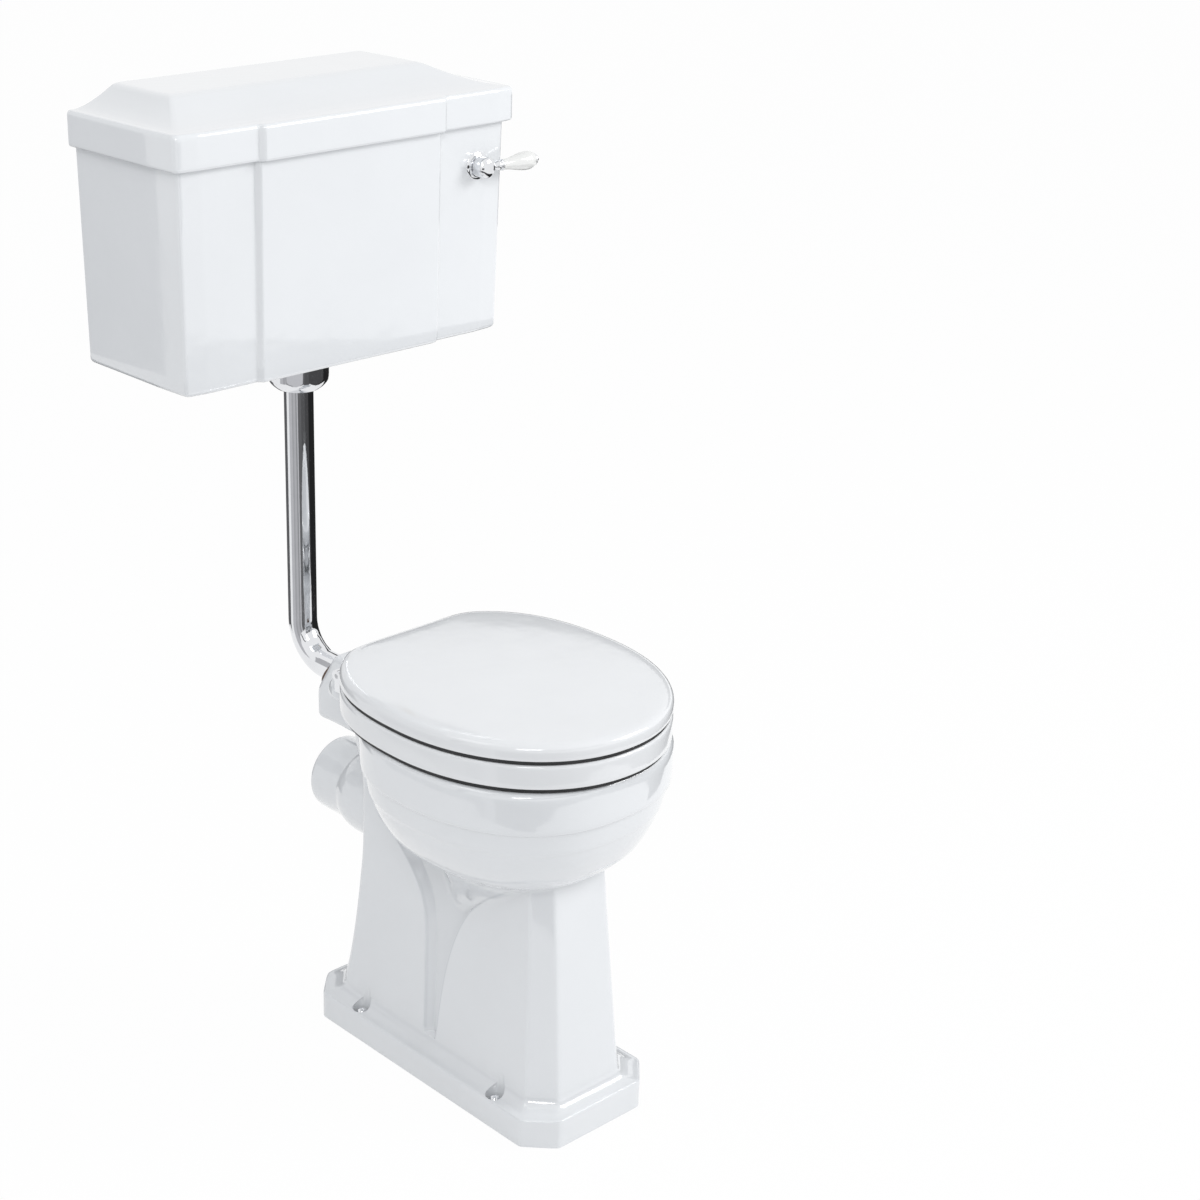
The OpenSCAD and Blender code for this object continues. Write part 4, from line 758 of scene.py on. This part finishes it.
def seatOutline(m, cut, t):
    s = seat
    x, y = oval(t, s["half"] - m, s["front"] - m, s["reach"] - m, s["frontSquare"], s["backSquare"])
    e = s["ease"]
    y = np.where(y > cut + e, cut, np.where(y > cut - e, cut - (cut + e - y) ** 2 / (4 * e), y))
    return np.stack([x, y + s["place"]], -1)


# Even steps along a superellipse's edge, found from its own fine table of lengths
def evenTurns(count):
    t = np.linspace(-np.pi / 2, 1.5 * np.pi, 4001)
    line = seatOutline(0, 500, t)
    far = np.concatenate([[0], np.cumsum(np.hypot(*np.diff(line, axis=0).T))])
    return np.interp(np.linspace(0, far[-1], count, endpoint=False), far, t)


def seatRing():
    s = seat
    t = evenTurns(224)
    o = seatOutline(0, s["rear"] - s["place"], t)
    x, y = oval(t, s["holeHalf"], s["holeFront"], s["holeBack"], 2.0, 2.2)
    h = np.stack([x, y + s["place"]], -1)
    d = (h - o) / np.linalg.norm(h - o, axis=1)[:, None]
    high = s["thick"]
    outer = [[3.4, 0], [1.5, 0.12], [0.5, 0.6], [0, 1.8], [0, 8], [0, 16], [0, high - 6], [0.25, high - 3.6],
             [1, high - 1.8], [2.3, high - 0.5], [4.2, high - 0.1]]
    inner = [[30, high], [22, high - 0.15], [15, high - 0.9], [9.5, high - 2.4], [5, high - 5], [2, high - 9],
             [0.4, high - 14], [0, high - 19], [0, 5], [0.5, 2.4], [1.8, 0.7], [4, 0]]
    section = [o + d * q for q, z in outer] + [h - d * q for q, z in inner]
    heights = [z for q, z in outer + inner]
    rings = np.stack([atHeight(line, s["ringLow"] + z) for line, z in zip(section, heights)])
    return skinPiece("seatRing", rings, "seat", "seat", ["seat_ring"], caps=False, wrap=True, crease=50)


def seatLid():
    s = seat
    t = evenTurns(224)
    base = s["ringLow"] + s["thick"] + s["lidGap"]
    high = s["lidThick"]
    rows = [[6, 0.9], [4, 0.1], [1.8, 0.05], [0.6, 0.5], [0, 1.7], [0, 6], [0.1, high - 9.6], [0.6, high - 7],
            [1.5, high - 4.9], [3, high - 3], [5, high - 1.6], [7.6, high - 0.7], [11, high - 0.15],
            [16, high + 0.2]]
    rows += [[q, high + 0.2 + 1.8 * (1 - (1 - (q - 16) / 134) ** 2)] for q in np.linspace(26, 150, 12)]
    under = [[100, 1.5], [30, 1.5], [12, 1.2]]
    rings = np.stack([atHeight(seatOutline(q, s["back"] - q, t), base + z) for q, z in under + rows])
    return skinPiece("seatLid", rings, "lid", "seat", ["seat_lid"], crease=50)


# Painted shade in the seat's gaps: low edge, high edge and how far set back; the lid's strip also stops short
# at the rear
gapShadeSpans = dict(ring=(492.6, 498.2, 4.2), lid=(528.3, 533.3, 2.6), lidShort=12)


# The thin dark strips set back in the gaps under the lid and under the ring: dark sheets in the rubber finish,
# put there as painted shade inside the gaps
def gapShadeSheet(name, body, low, high, back, cut):
    t = evenTurns(224)
    rings = np.stack([atHeight(seatOutline(back + q, cut - back - q, t), z)
                      for q, z in ((0, low), (0, high), (2.5, high), (2.5, low))])
    return skinPiece(name, rings, body, "rubber", caps=False, wrap=True)


seatRing()
seatLid()
gapShadeSheet("ringGapShade", "seat", *gapShadeSpans["ring"], seat["rear"] - seat["place"])
gapShadeSheet("lidGapShade", "lid", *gapShadeSpans["lid"], seat["back"] - gapShadeSpans["lidShort"])
print("seat made")


# The seat's hinges, one each side

hinge = dict(apart=155, y=149.5, z=516, r=8, knuckle=20, padR=18, bolt=154.5, seal=1.5)


# Rounded box from rings of rounded squares: half sizes shrink near both ends
def softBox(low, high, r, steps=6, k=5):
    low, high = np.array(low, float), np.array(high, float)
    t = np.linspace(0, np.pi / 2, k)
    mid, size = (low + high) / 2, (high - low) / 2
    rings = []
    q = np.linspace(0, np.pi / 2, steps)
    ends = [(r * (1 - np.sin(a)), r * (1 - np.cos(a))) for a in q]
    levels = [(low[2] + dz, inset) for inset, dz in ends]
    levels += [(high[2] - dz, inset) for inset, dz in ends[::-1]]
    for z, inset in levels:
        line = []
        for quarter in range(4):
            a = t + quarter * np.pi / 2
            sx, sy = [(1, 1), (-1, 1), (-1, -1), (1, -1)][quarter]
            line.append(np.stack([mid[0] + sx * (size[0] - r) + (r - inset) * np.cos(a),
                                  mid[1] + sy * (size[1] - r) + (r - inset) * np.sin(a)], -1))
        rings.append(atHeight(np.concatenate(line), z))
    return np.stack(rings)


def knuckleProfile(a, b, r, hole=3.05):
    e = 0.7
    return [[hole, a], [r - e, a], [r - e * 0.3, a + e * 0.3], [r, a + e], [r, (a + b) / 2], [r, b - e],
            [r - e * 0.3, b - e * 0.3], [r - e, b], [hole, b]]


def hinges():
    g = hinge
    for side, word in ((-1, "left"), (1, "right")):
        x = side * g["apart"] / 2
        z0 = pan["rimHigh"] + g["seal"]
        padR = g["padR"]
        pad = [[0, z0], [padR, z0], [padR, z0 + 2.4], [padR - 0.5, z0 + 3.3], [padR - 1.8, z0 + 4],
               [padR - 4, z0 + 4.4], [padR - 7, z0 + 4.5], [0, z0 + 4.5]]
        turned(f"hingePad.{word}", pad, (x, g["bolt"], 0), "z", "pan", "chrome", sides=96)
        neck = softBox((x - 8, g["y"] - 6, z0 + 3.6), (x + 8, g["y"] + 9, g["z"] - 1), 2.2)
        skinPiece(f"hingeNeck.{word}", neck, "pan", "chrome")
        k = g["knuckle"] / 2
        turned(f"hingeKnuckle.{word}", knuckleProfile(-k, k, g["r"]), (x, g["y"], g["z"]), "x",
               "pan", "chrome")


hinges()
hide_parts("hinge_posts")
print("hinges made")


# Flush pipe, its rubber cone and the coupling nut

pipe = dict(r=19, wall=1.2, y=358.4, bend=52, inlet=448, start=259, top=834.3)


# A tube along a line of [y, z] points in the middle plane, out and back inside
def flushPipe():
    p = pipe
    t = np.linspace(0, np.pi / 2, 30)
    level = np.stack([np.linspace(p["start"], p["y"] - p["bend"], 8), np.full(8, p["inlet"])], -1)[:-1]
    bend = np.stack([p["y"] - p["bend"] + p["bend"] * np.sin(t),
                     p["inlet"] + p["bend"] - p["bend"] * np.cos(t)], -1)
    up = np.stack([np.full(24, p["y"]), np.linspace(p["inlet"] + p["bend"], p["top"], 24)], -1)[1:]
    line = np.concatenate([level, bend, up])
    along = np.gradient(line, axis=0)
    along /= np.linalg.norm(along, axis=1)[:, None]
    a = np.linspace(0, 2 * np.pi, 96, endpoint=False)
    rings = []
    # the bend is a hand-made one: a few shallow ripples on its inner side
    inBend = np.clip(1 - np.abs(np.arange(len(line)) - 21) / 14, 0, 1)[:, None]
    ripple = 0.22 * inBend * np.sin(np.arange(len(line)) * 1.15)[:, None] * np.clip(np.sin(a), 0, 1) ** 2
    for r, order in ((p["r"], 1), (p["r"] - p["wall"], -1)):
        rr = r - ripple * (order > 0) - 0.001
        ring = np.stack([rr * np.cos(a), line[:, :1] - along[:, 1:] * rr * np.sin(a),
                         line[:, 1:] + along[:, :1] * rr * np.sin(a)], -1)
        rings.append(ring[::order])
    return skinPiece("flushPipe", np.concatenate(rings), "pan", "chrome", ["flush_pipe"],
                     caps=False, wrap=True)


flushPipe()
coneProfile = [[19.1, -30], [24, -30], [26, -28.5], [26, -2], [26, 0.2], [25.9, 2.2], [25.2, 4.2], [24.6, 6.6],
               [24.9, 7.6], [24.4, 8.8], [23.4, 10.6], [22.8, 12], [22.2, 12.8], [21, 13], [19.1, 13]]
cone = turned("flushCone", rounded(coneProfile, 1), (0, 290, pipe["inlet"]), "y", "pan", "cone",
              ["flush_cone"], sides=96)

# From the height low up, the cone is pressed back to follow the inlet block's sloped mouth, and
# keeps only the share left of what stood past it (metres)
press = dict(face=0.294, low=0.430, over=0.054, mouth=0.29, left=0.15)
coneSpots = np.zeros(len(cone.data.vertices) * 3)
cone.data.vertices.foreach_get("co", coneSpots)
coneSpots = coneSpots.reshape(-1, 3)
mouthEnd = press["face"] - np.clip(coneSpots[:, 2] - press["low"], 0, press["over"]) / inlet["slope"]
pressed = mouthEnd + (coneSpots[:, 1] - press["mouth"]) * press["left"]
coneSpots[:, 1] = np.minimum(coneSpots[:, 1], pressed)
cone.data.vertices.foreach_set("co", coneSpots.ravel())
cone.data.update()

nut = dict(r=38, low=816.3, sides=8)


# The nut's radius is the nearest of its flats and of a turned outline, so the turned bevels cut
# arcs on the flats
def couplingNut():
    n = nut
    a = np.linspace(0, 2 * np.pi, 192, endpoint=False)
    step = 2 * np.pi / n["sides"]
    flat = n["r"] / np.cos((a + step / 2) % step - step / 2)
    z = np.concatenate([[0, 0.4, 1.2], np.linspace(2.4, 14, 9), np.linspace(16, 38, 8),
                        np.linspace(39.4, 45, 8)])
    bevel = np.interp(z, [0, 0.4, 1.2, 5, 9, 14, 41, 43.5, 45], [26.6, 27.8, 29, 33.6, 37, 39.6, 40.1, 39, 37])
    rings = []
    for q, b in zip(z, bevel):
        r = np.minimum(flat, b)
        rings.append(np.stack([r * np.cos(a), pipe["y"] + r * np.sin(a), n["low"] + q + 0 * a], -1))
    inner = [[24.1, 45], [24.1, 20], [28, 20], [28, 6], [19.35, 6], [19.35, 0]]
    rings += [np.stack([r * np.cos(a), pipe["y"] + r * np.sin(a), n["low"] + q + 0 * a], -1) for r, q in inner]
    return skinPiece("couplingNut", np.stack(rings), "pan", "chrome", ["coupling_nut"],
                     caps=False, wrap=True, crease=24)


couplingNut()
print("flush pipe made")


# The flush lever

lever = dict(x=203, z=1087.3, face=250.99, arm=234.99, reach=89)


def flushLever():
    v = lever
    face = v["face"]
    rose = [[0, 0.5], [17.5, 0.5], [17.5, -0.9], [17.2, -1.5], [16.4, -2.0], [14.9, -2.3], [14.4, -2.7],
            [14.2, -3.7], [13.7, -4.5], [12.6, -4.9], [10, -4.9], [0, -4.9]]
    turned("leverRose", rose, (v["x"], face, v["z"]), "y", "pan", "chrome", ["lever_rose"], sides=96)
    # the hub and its spindle, which runs back into the tank
    hub = [[0, 112.4], [4.1, 112.4], [4.5, 111.9], [4.5, -6.3], [11.8, -6.3], [12.8, -6.9], [13.2, -7.9],
           [13.2, -12], [13.2, -18], [12.9, -19.6], [12.2, -21.2], [10.9, -22.6], [9, -23.7], [6.4, -24.5],
           [3, -24.85], [0, -24.9]]
    turned("leverHub", hub, (v["x"], face, v["z"]), "y", "lever", "chrome", ["lever_spindle"], sides=96)
    neck = rounded([[0, 12.6], [4, 13.3], [4.4, 16.3], [6.2, 19.3], [6.6, 22.3], [5.2, 24.7], [7.2, 26.3],
                    [7.2, 28.3], [0, 28.3]])
    turned("leverNeck", neck, (v["x"], v["arm"], v["z"]), "x", "lever", "chrome", ["lever_neck"])
    t = np.linspace(0, 1, 40)
    start = 28.4
    long = v["reach"] - 8 - start
    end = start + long
    grip = np.stack([6.4 + 5.2 * np.sin(np.pi / 2 * np.minimum(t / 0.78, 1)) ** 2
                     - 3.6 * np.maximum((t - 0.78) / 0.22, 0) ** 2, start + long * t], -1)
    grip = np.concatenate([[[0, start], [5.4, start + 0.02], [6.1, start + 0.3]], grip[1:-1],
                           [[7.7, end - 0.3], [6.8, end], [0, end]]])
    turned("leverHandle", grip, (v["x"], v["arm"], v["z"]), "x", "lever", "handle", ["lever_handle"], sides=96)
    e = end + 0.1
    cap = [[0, e], [6.6, e], [7.1, e + 0.3], [7.4, e + 1.3], [7.2, e + 2.4], [6.4, e + 3.3], [4.9, e + 3.9],
           [4.4, e + 4.5], [4.2, e + 5.6], [3.7, e + 6.7], [2.7, e + 7.5], [1.4, e + 7.85], [0, e + 7.9]]
    turned("leverEndCap", cap, (v["x"], v["arm"], v["z"]), "x", "lever", "chrome", ["lever_end_cap"])


flushLever()
print("lever made")


# Finishes for the CAD nodes that stay

nodeFinish = {entry["node"]: entry["material_slot"] for entry in frame["record"]["subparts"]}
for name, node in frame["nodes"].items():
    node.data.materials.clear()
    node.data.materials.append(finish[nodeFinish[name]])
print("CAD nodes finished")


# Floor

floorMaterial = bpy.data.materials.new("floorPaper")
floorMaterial.use_nodes = True
ft = floorMaterial.node_tree
ft.nodes.clear()
fOut = ft.nodes.new("ShaderNodeOutputMaterial")
fMix = ft.nodes.new("ShaderNodeMixShader")
fShare = ft.nodes.new("ShaderNodeMath")
fShare.operation = "MULTIPLY"
fShare.inputs[1].default_value = studio["floorShare"]
fPaper = ft.nodes.new("ShaderNodeBsdfDiffuse")
fPaper.inputs["Color"].default_value = [studio["floorWhite"]] * 3 + [1]
fWhite = ft.nodes.new("ShaderNodeEmission")
ft.links.new(seenOrReflected(ft), fShare.inputs[0])
ft.links.new(fShare.outputs[0], fMix.inputs["Fac"])
ft.links.new(fPaper.outputs[0], fMix.inputs[1])
ft.links.new(fWhite.outputs[0], fMix.inputs[2])
ft.links.new(fMix.outputs[0], fOut.inputs["Surface"])
floorMesh = bpy.data.meshes.new("floor")
floorSize, floorHigh = 12, -0.0005   # metres
corners = [(x * floorSize, y * floorSize, floorHigh) for x, y in ((-1, -1), (1, -1), (1, 1), (-1, 1))]
floorMesh.from_pydata(corners, [], [(0, 1, 2, 3)])
floorMesh.materials.append(floorMaterial)
floor = bpy.data.objects.new("floor", floorMesh)
bpy.context.collection.objects.link(floor)
